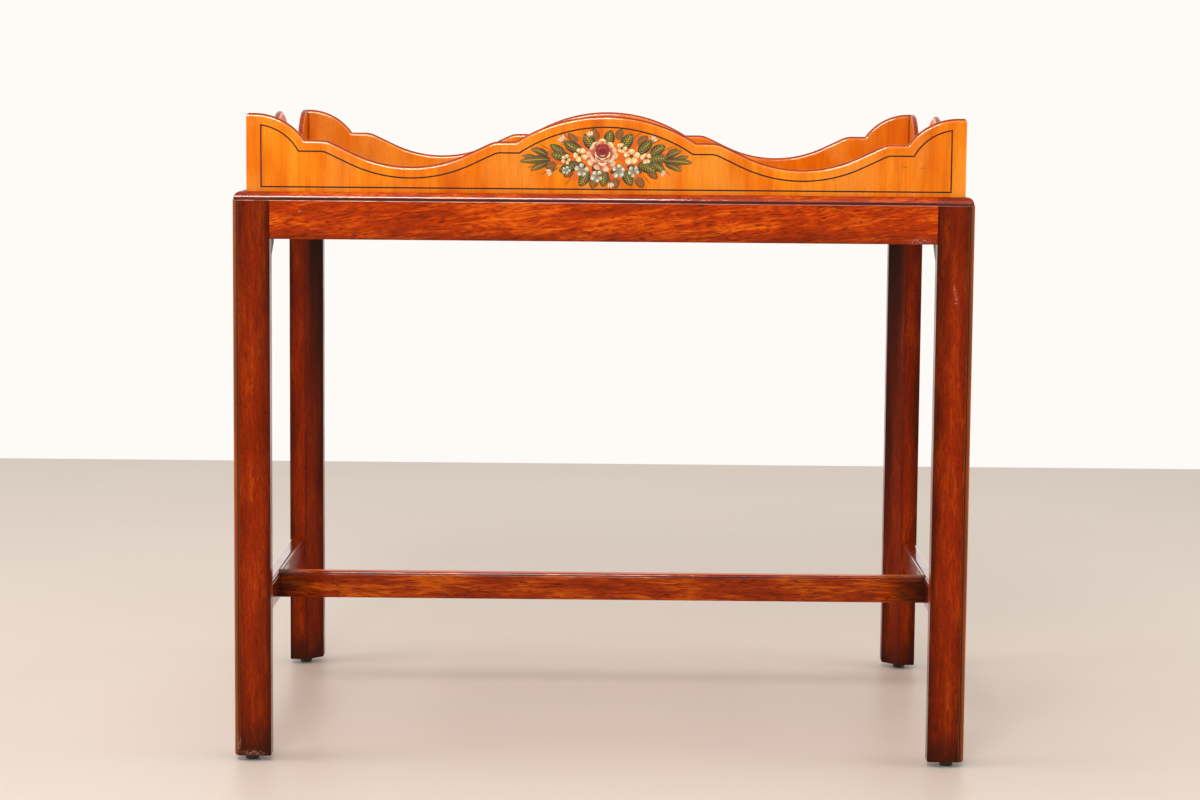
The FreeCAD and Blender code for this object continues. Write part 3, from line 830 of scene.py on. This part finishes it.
def wrapped(side, rows, bands):
    """A skin round rows of points with equal columns, back to the first row, in bands of materials."""
    form = bmesh.new()
    lines = [[form.verts.new(point) for point in stand_up(side, row)] for row in rows]
    for number, first in enumerate(lines):
        second = lines[(number + 1) % len(lines)]
        for column in range(len(first) - 1):
            face = form.faces.new((first[column], first[column + 1], second[column + 1], second[column]))
            face.material_index = bands[number]
    return form, lines


def closed_mesh(form, name):
    """Turns all faces outward and makes the mesh."""
    bmesh.ops.recalc_face_normals(form, faces=form.faces)
    return finished_mesh(form, name)


FACE, EDGE, INNER, CORE = range(4)
VENEER_ANGLE = 41.0
ROUNDING_ANGLES = (16.0, 29.0, VENEER_ANGLE, 54.0, 71.0, 90.0)


def board_mesh(side, name):
    """A gallery board: faces of veneer, a rounded scalloped top, mitred ends and a rebate for the floor."""
    board = BOARD_OF[side]
    half = board.length / 2
    radius, drop = settings().tray.top_radius / MM, settings().tray.top_drop / MM
    face = outline(board, drop, half)
    rows = [(0.0, level_row(face, 0.0, half)), (0.0, face)]
    bands = [FACE]
    rounding = []
    for degrees in ROUNDING_ANGLES:
        angle = math.radians(degrees)
        rounding.append((radius * (1 - math.cos(angle)), drop * (1 - math.sin(angle))))
        bands.append(FACE if degrees <= VENEER_ANGLE else EDGE)
    rows += [(depth, outline(board, inset, half - depth)) for depth, inset in rounding]
    bands.append(EDGE)
    for depth, inset in reversed(rounding):
        deep = BOARD_THICKNESS - depth
        rows.append((deep, outline(board, inset, half - deep)))
    bands += [EDGE if degrees > VENEER_ANGLE else INNER for degrees in reversed(ROUNDING_ANGLES)]
    back_reach = half - BOARD_THICKNESS
    back = outline(board, drop, back_reach)
    lap = BOARD_THICKNESS - LIP_LAP
    rows += [(BOARD_THICKNESS, back), (BOARD_THICKNESS, level_row(back, LIP_HEIGHT, back_reach)),
             (lap, level_row(back, LIP_HEIGHT, half - lap)), (lap, level_row(back, 0.0, half - lap))]
    bands += [INNER, CORE, CORE, CORE]
    lines = [[(x, depth, z) for x, z in points] for depth, points in rows]
    form, skin = wrapped(side, lines, bands)
    for column in (0, -1):
        cap = form.faces.new([line[column] for line in skin])
        cap.material_index = CORE
    return closed_mesh(form, name)


def string_mesh(side, name):
    """The string of a board: a thin band that keeps its distance from the edges all round."""
    board = BOARD_OF[side]
    proud = -settings().tray.string_proud / MM

    def loop(extra):
        """A side of the string, drawn in by some extra."""
        reach = board.length / 2 - STRING_END_INSET - extra
        foot = STRING_INSET + extra
        return outline(board, foot, reach) + [(reach, foot), (-reach, foot)]

    outer, inner = loop(0.0), loop(STRING_WIDTH)
    outer.append(outer[0])
    inner.append(inner[0])
    rows = [[(x, proud, z) for x, z in outer], [(x, proud, z) for x, z in inner],
            [(x, STRING_DEPTH, z) for x, z in inner], [(x, STRING_DEPTH, z) for x, z in outer]]
    form, _ = wrapped(side, rows, [0] * len(rows))
    bmesh.ops.remove_doubles(form, verts=form.verts, dist=WELD)
    return closed_mesh(form, name)


# ================================================================== painted spray
# Paints as they look on a screen, and the thickness of a stroke in millimetres.
LEAF_DARK = (44, 38, 14)
LEAF = (96, 84, 28)
LEAF_LIGHT = (196, 178, 70)
LEAF_WARM = (148, 112, 42)
ROSE_DEEP = (104, 20, 18)
ROSE = (176, 56, 42)
ROSE_PALE = (218, 128, 98)
CREAM = (246, 220, 168)
STRAW = (232, 178, 84)
ICE = (216, 216, 190)
ICE_SHADE = (104, 122, 110)
GLAZE = (222, 100, 12)
UMBER = (128, 78, 28)
SIENNA = (188, 122, 48)
TWIG = (78, 36, 14)
SOOT = (46, 26, 16)
WHITE = (250, 240, 214)
PAINT_THICKNESS = 0.05
LAYER_LIFT = 0.018
UNDER_FACE = 0.05
STROKE_STEPS = 8
LIGHT_VARIES = 0.12
NARROWEST = 0.02
FULLNESS = 0.7
EDGE_TINTING = 0.5
STROKE_SECTION = ((-1.0, 0.0), (-0.9, 0.6), (-0.45, 0.94), (0.0, 1.0), (0.45, 0.94), (0.9, 0.6), (1.0, 0.0))


def heading(degrees):
    """The direction at an angle on the face of the board."""
    return Vector((math.cos(math.radians(degrees)), math.sin(math.radians(degrees))))


def square_to(way):
    """A direction turned left by a right angle."""
    return Vector((-way.y, way.x))


class Brush:
    """Lays strokes of paint, layer upon layer, on the outer face of the front board."""

    def __init__(self, seed):
        self.chance = random.Random(seed)
        self.form = bmesh.new()
        self.tints = self.form.verts.layers.float_color.new("paint")
        self.layer = 1

    def stroke(self, start, end, width, root, tip, bend=0.0, belly=0.55, edge=None):
        """One dab from start to end, widest at its belly, fading from the root colour to the tip colour."""
        run = Vector(end) - Vector(start)
        across = square_to(run).normalized()
        sway = math.log(0.5) / math.log(belly)
        root, tip, edge = (Vector(from_screen(*tint)) for tint in (root, tip, edge or tip))
        light = 1.0 + self.chance.uniform(-LIGHT_VARIES, LIGHT_VARIES)
        ground = self.layer * LAYER_LIFT
        ribs = []
        for step in range(STROKE_STEPS + 1):
            along = step / STROKE_STEPS
            middle = Vector(start) + run * along + across * (bend * 4 * along * (1 - along))
            half = width / 2 * max(math.sin(math.pi * along ** sway), NARROWEST) ** FULLNESS
            rib = []
            for side, rise in STROKE_SECTION:
                spot = middle + across * (half * side)
                on_rim = rise == 0.0 or step in (0, STROKE_STEPS)
                height = -UNDER_FACE if on_rim else ground + PAINT_THICKNESS * rise
                vertex = self.form.verts.new((spot.x, -height, spot.y))
                tint = root.lerp(tip, along).lerp(edge, side ** 2 * EDGE_TINTING) * light
                vertex[self.tints] = (*tint, 1.0)
                rib.append(vertex)
            ribs.append(rib)
        for first, second in zip(ribs, ribs[1:]):
            for one in range(len(STROKE_SECTION) - 1):
                self.form.faces.new((first[one], first[one + 1], second[one + 1], second[one]))
        rim = [rib[0] for rib in ribs] + ribs[-1][1:-1]
        rim += [rib[-1] for rib in reversed(ribs)] + ribs[0][-2:0:-1]
        self.form.faces.new(rim)

    def ray(self, centre, degrees, near, far, *rest, **options):
        """A stroke outward from a centre."""
        way = heading(degrees)
        self.stroke(Vector(centre) + way * near, Vector(centre) + way * far, *rest, **options)

    def leaf(self, start, degrees, size, width, bend=0.6, ground=LEAF, vein=LEAF_LIGHT, veins=6,
             edge=LEAF_DARK):
        """A dark leaf with a pale rib and curving veins."""
        self.ray(start, degrees, 0.0, size, width, edge, ground, bend=bend, belly=0.46, edge=edge)
        way, across = heading(degrees), square_to(heading(degrees))
        self.layer += 1
        self.ray(start, degrees, 0.0, size * 0.94, width * 0.11, ground, vein, bend=bend)
        for number in range(veins):
            along = 0.12 + 0.13 * number
            root = Vector(start) + way * (size * along) + across * (bend * 4 * along * (1 - along))
            reach = width * 0.36 * math.sin(math.pi * (along * 0.8 + 0.16))
            for side in (-1, 1):
                tip = root + way * size * 0.17 + across * (side * reach)
                self.stroke(root, tip, width * 0.09, vein, ground, bend=side * width * 0.03)
        self.layer -= 1

    def blossom(self, centre, size, petal, shade, turn=0.0, heart=STRAW):
        """Five petals round a heart, each with a light and a shadow stroke."""
        for number in range(5):
            degrees = turn + 72 * number + self.chance.uniform(-14, 14)
            reach = size * self.chance.uniform(0.82, 1.1)
            width = size * self.chance.uniform(0.68, 0.86)
            self.ray(centre, degrees, size * 0.1, reach, width, shade, petal, belly=0.64, edge=shade)
            self.layer += 1
            self.ray(centre, degrees + 9, size * 0.36, reach * 0.95, width * 0.45, petal, WHITE, belly=0.62)
            self.ray(centre, degrees - 16, size * 0.3, reach * 0.8, width * 0.16, shade, petal)
            self.layer -= 1
        self.layer += 2
        for number in range(5):
            self.ray(centre, turn + 36 + 72 * number, 0.1, size * 0.3, size * 0.17, TWIG, heart)
        self.layer -= 2

    def bud(self, centre, degrees, size, petal, shade):
        """A closed bud held in dark sepals."""
        for turn in (-24, 22, 0):
            self.ray(centre, degrees + turn, -size * 0.1, size, size * 0.36, shade, petal, belly=0.6,
                     edge=shade)
            self.layer += 1
            self.ray(centre, degrees + turn, size * 0.3, size * 0.96, size * 0.14, petal, WHITE)
        for turn in (-34, 32, 0):
            self.ray(centre, degrees + turn, -size * 0.3, size * 0.42, size * 0.2, LEAF_DARK, LEAF_WARM)
        self.layer -= 3
        self.ray(centre, degrees + 180, 0.0, size * 0.9, size * 0.14, LEAF_DARK, UMBER)

    def crescent(self, centre, degrees, reach, span, width, root, tip):
        """A curved stroke square to a ray, hollow towards the centre."""
        way = heading(degrees)
        middle, across = Vector(centre) + way * reach, square_to(way) * span
        self.stroke(middle - across, middle + across, width, root, tip, bend=-span * 0.5, belly=0.5)

    def rose(self, centre, size):
        """A full-blown rose: loose outer petals round a cup of crescents with a deep heart."""
        for number in range(9):
            self.ray(centre, 40 * number, 0.0, size * 0.78, size * 0.66, ROSE_DEEP, ROSE)
        self.layer += 1
        for degrees, reach in OUTER_PETALS:
            far = size * reach
            self.ray(centre, degrees, size * 0.3, far, size * 0.6, ROSE, ROSE_PALE, belly=0.62, edge=ROSE)
            self.layer += 1
            self.ray(centre, degrees + 5, size * 0.62, far, size * 0.4, ROSE_PALE, CREAM, belly=0.62)
            self.layer -= 1
        self.layer += 2
        cup = Vector(centre) + Vector((size * 0.02, size * 0.2))
        for number in range(8):
            self.ray(cup, 45 * number, 0.0, size * 0.6, size * 0.46, ROSE_DEEP, ROSE, belly=0.6)
        for turns, reach, span, width, root, tip in CUP_RINGS:
            self.layer += 1
            for degrees in turns:
                self.crescent(cup, degrees, size * reach, size * span, size * width, root, tip)
        self.layer -= 3 + len(CUP_RINGS)


# Outer petals of the rose: direction and reach, in sizes of the rose.
OUTER_PETALS = ((-8, 0.98), (-44, 1.02), (-80, 1.08), (-118, 1.0), (-152, 1.06), (172, 0.98), (138, 0.9),
                (44, 0.88), (16, 0.94))
# Rings of its cup: directions, then reach, span and width in sizes of the rose, then two colours.
CUP_RINGS = (
    ((90, 40, 140), 0.60, 0.27, 0.17, CREAM, CREAM),
    ((66, 114), 0.47, 0.22, 0.09, ROSE_PALE, CREAM),
    ((-90, -38, -142), 0.62, 0.34, 0.20, CREAM, CREAM),
    ((-64, -116), 0.47, 0.30, 0.13, CREAM, ROSE_PALE),
    ((90, 20, 160), 0.41, 0.22, 0.09, ROSE, ROSE_PALE),
    ((-90, -30, -150), 0.34, 0.26, 0.12, CREAM, CREAM),
    ((60, 100, 130), 0.22, 0.10, 0.06, ROSE, ROSE_PALE),
    ((-90,), 0.18, 0.18, 0.09, ROSE_PALE, CREAM),
)
# The spray in millimetres, along from the middle of the board and up from its foot.
# Leaves, glazes and shades: place, direction, length and width.
GLAZES = (
    (-14, 45, 180, 58, 18), (8, 44, 0, 62, 18), (-4, 40, 207, 40, 16), (6, 38, -28, 38, 16),
    (-8, 52, 158, 36, 12), (8, 52, 22, 36, 12), (-26, 24, 0, 52, 12),
)
LEAVES = (
    (-12, 53, 122, 19, 13), (3, 57, 84, 16, 12), (17, 52, 60, 20, 13), (33, 48, 44, 21, 12),
    (-24, 50, 152, 23, 12), (-36, 45, 174, 22, 11), (-28, 39, 204, 23, 12), (32, 38, -22, 22, 12),
    (43, 42, 6, 20, 12), (-2, 32, -94, 18, 12), (18, 32, -64, 19, 12), (-18, 32, -118, 20, 12),
    (45, 47, 32, 19, 11), (46, 39, -30, 17, 10), (-42, 49, 152, 18, 9),
)
END_LEAVES = (
    (56, 41, -3, 34, 8.5), (60, 44, 24, 20, 7.5), (60, 38, -22, 20, 7), (70, 42, 14, 16, 5),
    (-54, 42, 184, 36, 9), (-58, 45, 158, 21, 8), (-58, 39, 204, 22, 7.5), (-70, 43, 172, 17, 5),
)
SHADOW_LEAVES = (
    (-8, 62, 116, 14, 10), (12, 62, 70, 13, 9), (32, 57, 40, 15, 9), (-34, 33, 222, 13, 10),
    (30, 24, -50, 14, 10), (42, 31, -36, 14, 9), (-12, 24, -104, 12, 10), (8, 24, -78, 12, 10),
    (-50, 38, 196, 14, 9), (-28, 60, 142, 15, 8), (62, 46, 36, 14, 6), (-62, 48, 150, 13, 6),
)
SHADES = (
    (-20, 35, 170, 12, 8), (-14, 30, 60, 9, 6), (4, 29, 20, 10, 7), (21, 35, -10, 10, 7),
    (-4, 28, 160, 9, 6), (32, 36, -60, 9, 6), (-34, 36, -20, 9, 6),
)
# Twigs: where they start and end.
TWIGS = (
    (26, 62, 38, 71), (46, 57, 58, 64), (58, 50, 71, 57), (62, 47, 76, 51), (-34, 62, -44, 69),
    (-56, 52, -68, 58), (58, 33, 67, 25), (-56, 34, -68, 26), (38, 26, 45, 17), (-36, 24, -43, 16),
    (-10, 66, -13, 74), (12, 68, 15, 74), (70, 38, 80, 33), (-72, 38, -82, 33), (4, 16, 6, 14),
)
# Blossoms: place, size and turn. Buds: place, direction and size.
STRAW_BLOSSOMS = (
    (26, 46, 9.0, 12), (-27, 47, 7.8, 40), (16, 54, 5.6, 5), (41, 44, 6.4, 30), (-41, 42, 5.4, 60),
)
ICE_BLOSSOMS = (
    (-25, 31, 7.4, 10), (-9, 25, 6.8, 44), (13, 31, 7.8, 20), (28, 30, 6.2, 55), (-41, 31, 4.8, 0),
)
BUDS = (
    (-42, 59, 132, 9), (-15, 64, 112, 8), (46, 60, 52, 8), (55, 31, -30, 7), (-54, 31, 208, 8),
    (4, 21, -76, 8),
)
ROSE_PLACE = (-4, 47)
ROSE_SIZE = 16.5
SPRAY_SEED = 11
TWIG_WIDTH = 0.8
TWIG_BEND = 0.9


def spray_mesh(name):
    """The painted spray: a rose with small blossoms, buds and leaves that taper off to both sides."""
    brush = Brush(SPRAY_SEED)
    for x, z, degrees, size, width in GLAZES:
        brush.ray((x, z), degrees, 0.0, size, width, GLAZE, GLAZE)
    brush.layer = 2
    for x, z, degrees, size, width in SHADOW_LEAVES:
        brush.leaf((x, z), degrees, size, width, 0.8, UMBER, SIENNA, 5, UMBER)
    for x, z, end_x, end_z in TWIGS:
        brush.stroke((x, z), (end_x, end_z), TWIG_WIDTH, TWIG, UMBER, bend=TWIG_BEND)
    brush.layer = 3
    for x, z, degrees, size, width in END_LEAVES:
        brush.leaf((x, z), degrees, size, width, 1.0 if x > 0 else -1.0, LEAF_WARM, LEAF_LIGHT, 0)
    brush.layer = 5
    for x, z, degrees, size, width in LEAVES:
        brush.leaf((x, z), degrees, size, width)
    brush.layer = 7
    for x, z, degrees, size in BUDS:
        brush.bud((x, z), degrees, size, CREAM, ROSE)
    brush.layer = 8
    for x, z, size, turn in STRAW_BLOSSOMS:
        brush.blossom((x, z), size, CREAM, STRAW, turn, heart=ROSE_DEEP)
    brush.layer = 9
    brush.rose(ROSE_PLACE, ROSE_SIZE)
    brush.layer = 7
    for x, z, degrees, size, width in SHADES:
        brush.ray((x, z), degrees, 0.0, size, width, SOOT, UMBER)
    brush.layer = 12
    for x, z, size, turn in ICE_BLOSSOMS:
        brush.blossom((x, z), size, ICE, ICE_SHADE, turn)
    for vertex in brush.form.verts:
        vertex.co = stand_up("front", [tuple(vertex.co)])[0]
    return closed_mesh(brush.form, name)


# ================================================================== operators
class TEATABLE_OT_legs(Operator):
    """Makes the four polished legs"""
    bl_idname = "teatable.legs"
    bl_label = "Legs"

    def execute(self, context):
        marks = bruises("leg_front_right", (363, 490, 2.2, 12.0), (361, 500, 1.2, 9.0), (-362, 9, 17.0, 4.0),
                        (-377, 20, 4.0, 12.0))
        wood = mahogany("mahogany_legs", Z_AXIS, (0.57, 0.47, 0.52), 0.8, run=1.5, shading=leg_shading,
                        marks=marks)
        wax_and_shade = quirk_wax_and_shade("wax_and_shade_in_leg_quirks")
        for corner in CORNERS:
            polish_stand_piece("leg_" + corner, wood, wax_and_shade, RUBBED_BELOW)
        return {"FINISHED"}


class TEATABLE_OT_aprons(Operator):
    """Makes the four polished aprons with the rim on top"""
    bl_idname = "teatable.aprons"
    bl_label = "Aprons"

    def execute(self, context):
        marks = bruises("apron_front", (-311, 575, 3.0, 1.8), (-322, 569, 1.8, 1.0), (326, 549, 16.0, 5.0))
        long_wood = mahogany("mahogany_long_aprons", X_AXIS, contrast=1.4, slant=7.0, pore=2.4,
                             shading=apron_shading, marks=marks)
        short_wood = mahogany("mahogany_short_aprons", Y_AXIS, contrast=1.4, slant=-7.0, pore=2.4,
                              shading=apron_shading)
        wax_and_shade = quirk_wax_and_shade("wax_and_shade_under_rim")
        for side in SIDES:
            wood = long_wood if BOARD_OF[side] is LONG_BOARD else short_wood
            polish_stand_piece("apron_" + side, wood, wax_and_shade, RUBBED_BELOW)
        return {"FINISHED"}


class TEATABLE_OT_stretchers(Operator):
    """Makes the two side stretchers and the centre stretcher"""
    bl_idname = "teatable.stretchers"
    bl_label = "Stretchers"

    def execute(self, context):
        side_wood = mahogany("mahogany_side_stretchers", Y_AXIS, (0.5, 0.4, 0.36), 1.3,
                             shading=side_stretcher_shading, coat=COAT_ON_SIDE_STRETCHERS, specular=0.24)
        centre_wood = mahogany("mahogany_centre_stretcher", X_AXIS, (0.7, 0.76, 1.0), 1.5, run=2.4,
                               pore=2.4, shading=centre_stretcher_shading,
                               coat=COAT_ON_CENTRE_STRETCHER, specular=0.1)
        wax_and_shade = quirk_wax_and_shade("wax_and_shade_on_stretchers")
        for node in ("side_stretcher_left", "side_stretcher_right"):
            polish_stand_piece(node, side_wood, wax_and_shade)
        polish_stand_piece("centre_stretcher", centre_wood, wax_and_shade)
        return {"FINISHED"}


class TEATABLE_OT_glides(Operator):
    """Finishes the glides under the feet and the nails that hold them"""
    bl_idname = "teatable.glides"
    bl_label = "Glides"

    def execute(self, context):
        rubber = glide_rubber("black_glide")
        for corner in CORNERS:
            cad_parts["glide_" + corner].material_slots[0].material = rubber
        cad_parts["glide_nails"].material_slots[0].material = bare_steel("bare_nail")
        return {"FINISHED"}


class TEATABLE_OT_gallery(Operator):
    """Makes the four scalloped boards round the tray"""
    bl_idname = "teatable.gallery"
    bl_label = "Gallery boards"

    def execute(self, context):
        scratches = bruises("gallery_front", (309, 625.2, 4.0, 0.7), (327, 624.2, 4.2, 0.6),
                            (236, 611.0, 1.6, 0.7))
        woods = (satinwood("satinwood_outside", marks=scratches),
                 mahogany("mahogany_board_edges", X_AXIS, even(0.75)),
                 satinwood("satinwood_inside", tone=(0.9, 1.0, 1.15), painted_shade=corner_shade),
                 mahogany("mahogany_board_core", X_AXIS, even(0.6)))
        for side in SIDES:
            node = "gallery_" + side
            piece = new_piece(board_mesh(side, "veneered_" + node), woods)
            settle(piece, "tray", "tray_satinwood", node)
        return {"FINISHED"}


class TEATABLE_OT_stringing(Operator):
    """Makes the black string let into the outside of each board"""
    bl_idname = "teatable.stringing"
    bl_label = "Stringing"

    def execute(self, context):
        black = string_black("black_string")
        for side in SIDES:
            node = "stringing_" + side
            piece = new_piece(string_mesh(side, "inlaid_" + node), (black,))
            settle(piece, "tray", "string_ebony", node)
        return {"FINISHED"}


class TEATABLE_OT_tray_floor(Operator):
    """Finishes the panel in the bottom of the tray"""
    bl_idname = "teatable.tray_floor"
    bl_label = "Tray floor"

    def execute(self, context):
        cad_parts["tray_floor"].material_slots[0].material = satinwood("satinwood_floor", X_AXIS)
        return {"FINISHED"}


class TEATABLE_OT_spray(Operator):
    """Paints the spray of flowers on the front of the tray"""
    bl_idname = "teatable.spray"
    bl_label = "Painted spray"

    def execute(self, context):
        piece = new_piece(spray_mesh("painted_spray"), (artist_paint("oil_paint"),), 80.0)
        settle(piece, "tray", "tray_satinwood")
        return {"FINISHED"}


# ================================================================== stage
FLOOR_RADIUS = 40.0
FLOOR_SIDES = 96
FLOOR_FADE = 1.6
LIT_POINT = Vector((0.0, 0.0, 0.45))
SKY_TINT = (1.0, 0.99, 0.97, 1.0)
CAMERA_PLACE = Vector((0.01722, -3.27126, 0.69992))
CAMERA_YAW, CAMERA_PITCH, CAMERA_ROLL = -0.0064, 0.1054, 0.0084
SENSOR_WIDTH = 36.0


def soft_light(name, place, width, height, power):
    """A rectangular light that faces the table."""
    lamp = bpy.data.lights.new(name, "AREA")
    lamp.shape = "RECTANGLE"
    lamp.size = width
    lamp.size_y = height
    lamp.energy = power
    light = bpy.data.objects.new(name, lamp)
    bpy.context.scene.collection.objects.link(light)
    light.location = place
    light.rotation_euler = (LIT_POINT - Vector(place)).to_track_quat("-Z", "Y").to_euler()


def seen_directly(tree):
    """1 for what the camera sees itself, in gloss or through glass, and 0 for light that falls on things."""
    path = add(tree, "ShaderNodeLightPath")
    camera, gloss, glass = (Field(tree, path.outputs[f"Is {kind} Ray"])
                            for kind in ("Camera", "Glossy", "Transmission"))
    return maths("MAXIMUM", maths("MAXIMUM", camera, gloss), glass)


class TEATABLE_OT_stage(Operator):
    """Sets up the floor, the lights, the sky and the camera"""
    bl_idname = "teatable.stage"
    bl_label = "Stage"

    def execute(self, context):
        stage = settings().stage
        self.lay_floor(stage)
        soft_light("window_light", (-0.42, -3.1, 2.45), 1.15, 0.6, stage.window)
        soft_light("left_light", (-2.9, -0.6, 1.2), 1.6, 1.4, stage.fill)
        soft_light("right_light", (2.9, -0.6, 1.2), 1.6, 1.4, stage.weak_fill)
        soft_light("overhead_light", (-0.42, -0.3, 3.0), 2.0, 1.6, stage.overhead)
        self.hang_sky(context.scene, stage)
        self.place_camera(context.scene, stage)
        context.scene.view_settings.view_transform = "Standard"
        return {"FINISHED"}

    def lay_floor(self, stage):
        """A plain floor that ends in the backdrop."""
        form = bmesh.new()
        bmesh.ops.create_circle(form, cap_ends=True, segments=FLOOR_SIDES, radius=FLOOR_RADIUS)
        mesh = finished_mesh(form, "floor")
        floor = bpy.data.objects.new("floor", mesh)
        bpy.context.scene.collection.objects.link(floor)
        material, place = new_material("plain_floor")
        cloud = mottle(place, even(0.5), 3.0)
        tint = ramp(cloud, (0.3, toned(stage.floor, even(0.96))), (0.7, stage.floor))
        plain = principled(tint, 0.42, {"Specular IOR Level": 0.3})
        white = field(place.tree, "ShaderNodeEmission", {"Color": (*stage.backdrop, 1.0), "Strength": 1.0})
        reach = vectors("LENGTH", place, output="Value")
        far = field(place.tree, "ShaderNodeMapRange", {
            "Value": reach, "From Min": stage.pale_radius, "From Max": stage.pale_radius * FLOOR_FADE},
            interpolation_type="SMOOTHSTEP")
        far = maths("MAXIMUM", far, axes(place)[Y_AXIS] > stage.floor_depth)
        finish_off(field(place.tree, "ShaderNodeMixShader", {
            0: far * seen_directly(place.tree), 1: plain, 2: white}))
        mesh.materials.append(material)

    def hang_sky(self, scene, stage):
        """A pale light from all round, with the backdrop behind it."""
        world = bpy.data.worlds.new("pale_sky")
        world.use_nodes = True
        tree = world.node_tree
        tree.nodes.clear()
        light = field(tree, "ShaderNodeBackground", {"Color": SKY_TINT, "Strength": stage.daylight})
        seen = field(tree, "ShaderNodeBackground", {"Color": (*stage.backdrop, 1.0), "Strength": 1.0})
        blend = field(tree, "ShaderNodeMixShader", {0: seen_directly(tree), 1: light, 2: seen})
        add(tree, "ShaderNodeOutputWorld", {"Surface": blend})
        scene.world = world

    def place_camera(self, scene, stage):
        """A camera just above the gallery, very slightly turned and rolled."""
        forward = Vector((math.sin(CAMERA_YAW) * math.cos(CAMERA_PITCH),
                          math.cos(CAMERA_YAW) * math.cos(CAMERA_PITCH), -math.sin(CAMERA_PITCH)))
        level = Vector((math.cos(CAMERA_YAW), -math.sin(CAMERA_YAW), 0.0))
        upright = level.cross(forward)
        right = level * math.cos(CAMERA_ROLL) + upright * math.sin(CAMERA_ROLL)
        up = upright * math.cos(CAMERA_ROLL) - level * math.sin(CAMERA_ROLL)
        lens = bpy.data.cameras.new("camera")
        lens.lens = stage.lens
        lens.sensor_width = SENSOR_WIDTH
        camera = bpy.data.objects.new("camera", lens)
        scene.collection.objects.link(camera)
        turn = Matrix((right, up, -forward)).transposed().to_4x4()
        camera.matrix_world = Matrix.Translation(CAMERA_PLACE) @ turn
        scene.camera = camera


class TEATABLE_PT_panel(Panel):
    """Lists the sizes, the colours and the steps of the tea table"""
    bl_label = "Tea Table"
    bl_idname = "TEATABLE_PT_panel"
    bl_space_type = "VIEW_3D"
    bl_region_type = "UI"
    bl_category = "Tea Table"

    def draw(self, context):
        table = settings()
        for title, group in (("Stand", table.stand), ("Tray", table.tray), ("Stage", table.stage)):
            box = self.layout.box()
            box.label(text=title)
            for key in group.__annotations__:
                box.prop(group, key)
        for operator in OPERATORS:
            self.layout.operator(operator.bl_idname)


OPERATORS = (TEATABLE_OT_legs, TEATABLE_OT_aprons, TEATABLE_OT_stretchers, TEATABLE_OT_glides,
             TEATABLE_OT_gallery, TEATABLE_OT_stringing, TEATABLE_OT_tray_floor, TEATABLE_OT_spray,
             TEATABLE_OT_stage)
CLASSES = (StandSettings, TraySettings, StageSettings, TableSettings) + OPERATORS + (TEATABLE_PT_panel,)


def register():
    for item in CLASSES:
        bpy.utils.register_class(item)
    bpy.types.Scene.tea_table = PointerProperty(type=TableSettings, name="Tea table",
                                                description="Settings of the tea table")


def unregister():
    del bpy.types.Scene.tea_table
    for item in reversed(CLASSES):
        bpy.utils.unregister_class(item)


def main():
    register()
    bpy.ops.teatable.legs()
    bpy.ops.teatable.aprons()
    bpy.ops.teatable.stretchers()
    bpy.ops.teatable.glides()
    bpy.ops.teatable.gallery()
    bpy.ops.teatable.stringing()
    bpy.ops.teatable.tray_floor()
    bpy.ops.teatable.spray()
    bpy.ops.teatable.stage()


if __name__ == "__main__":
    main()
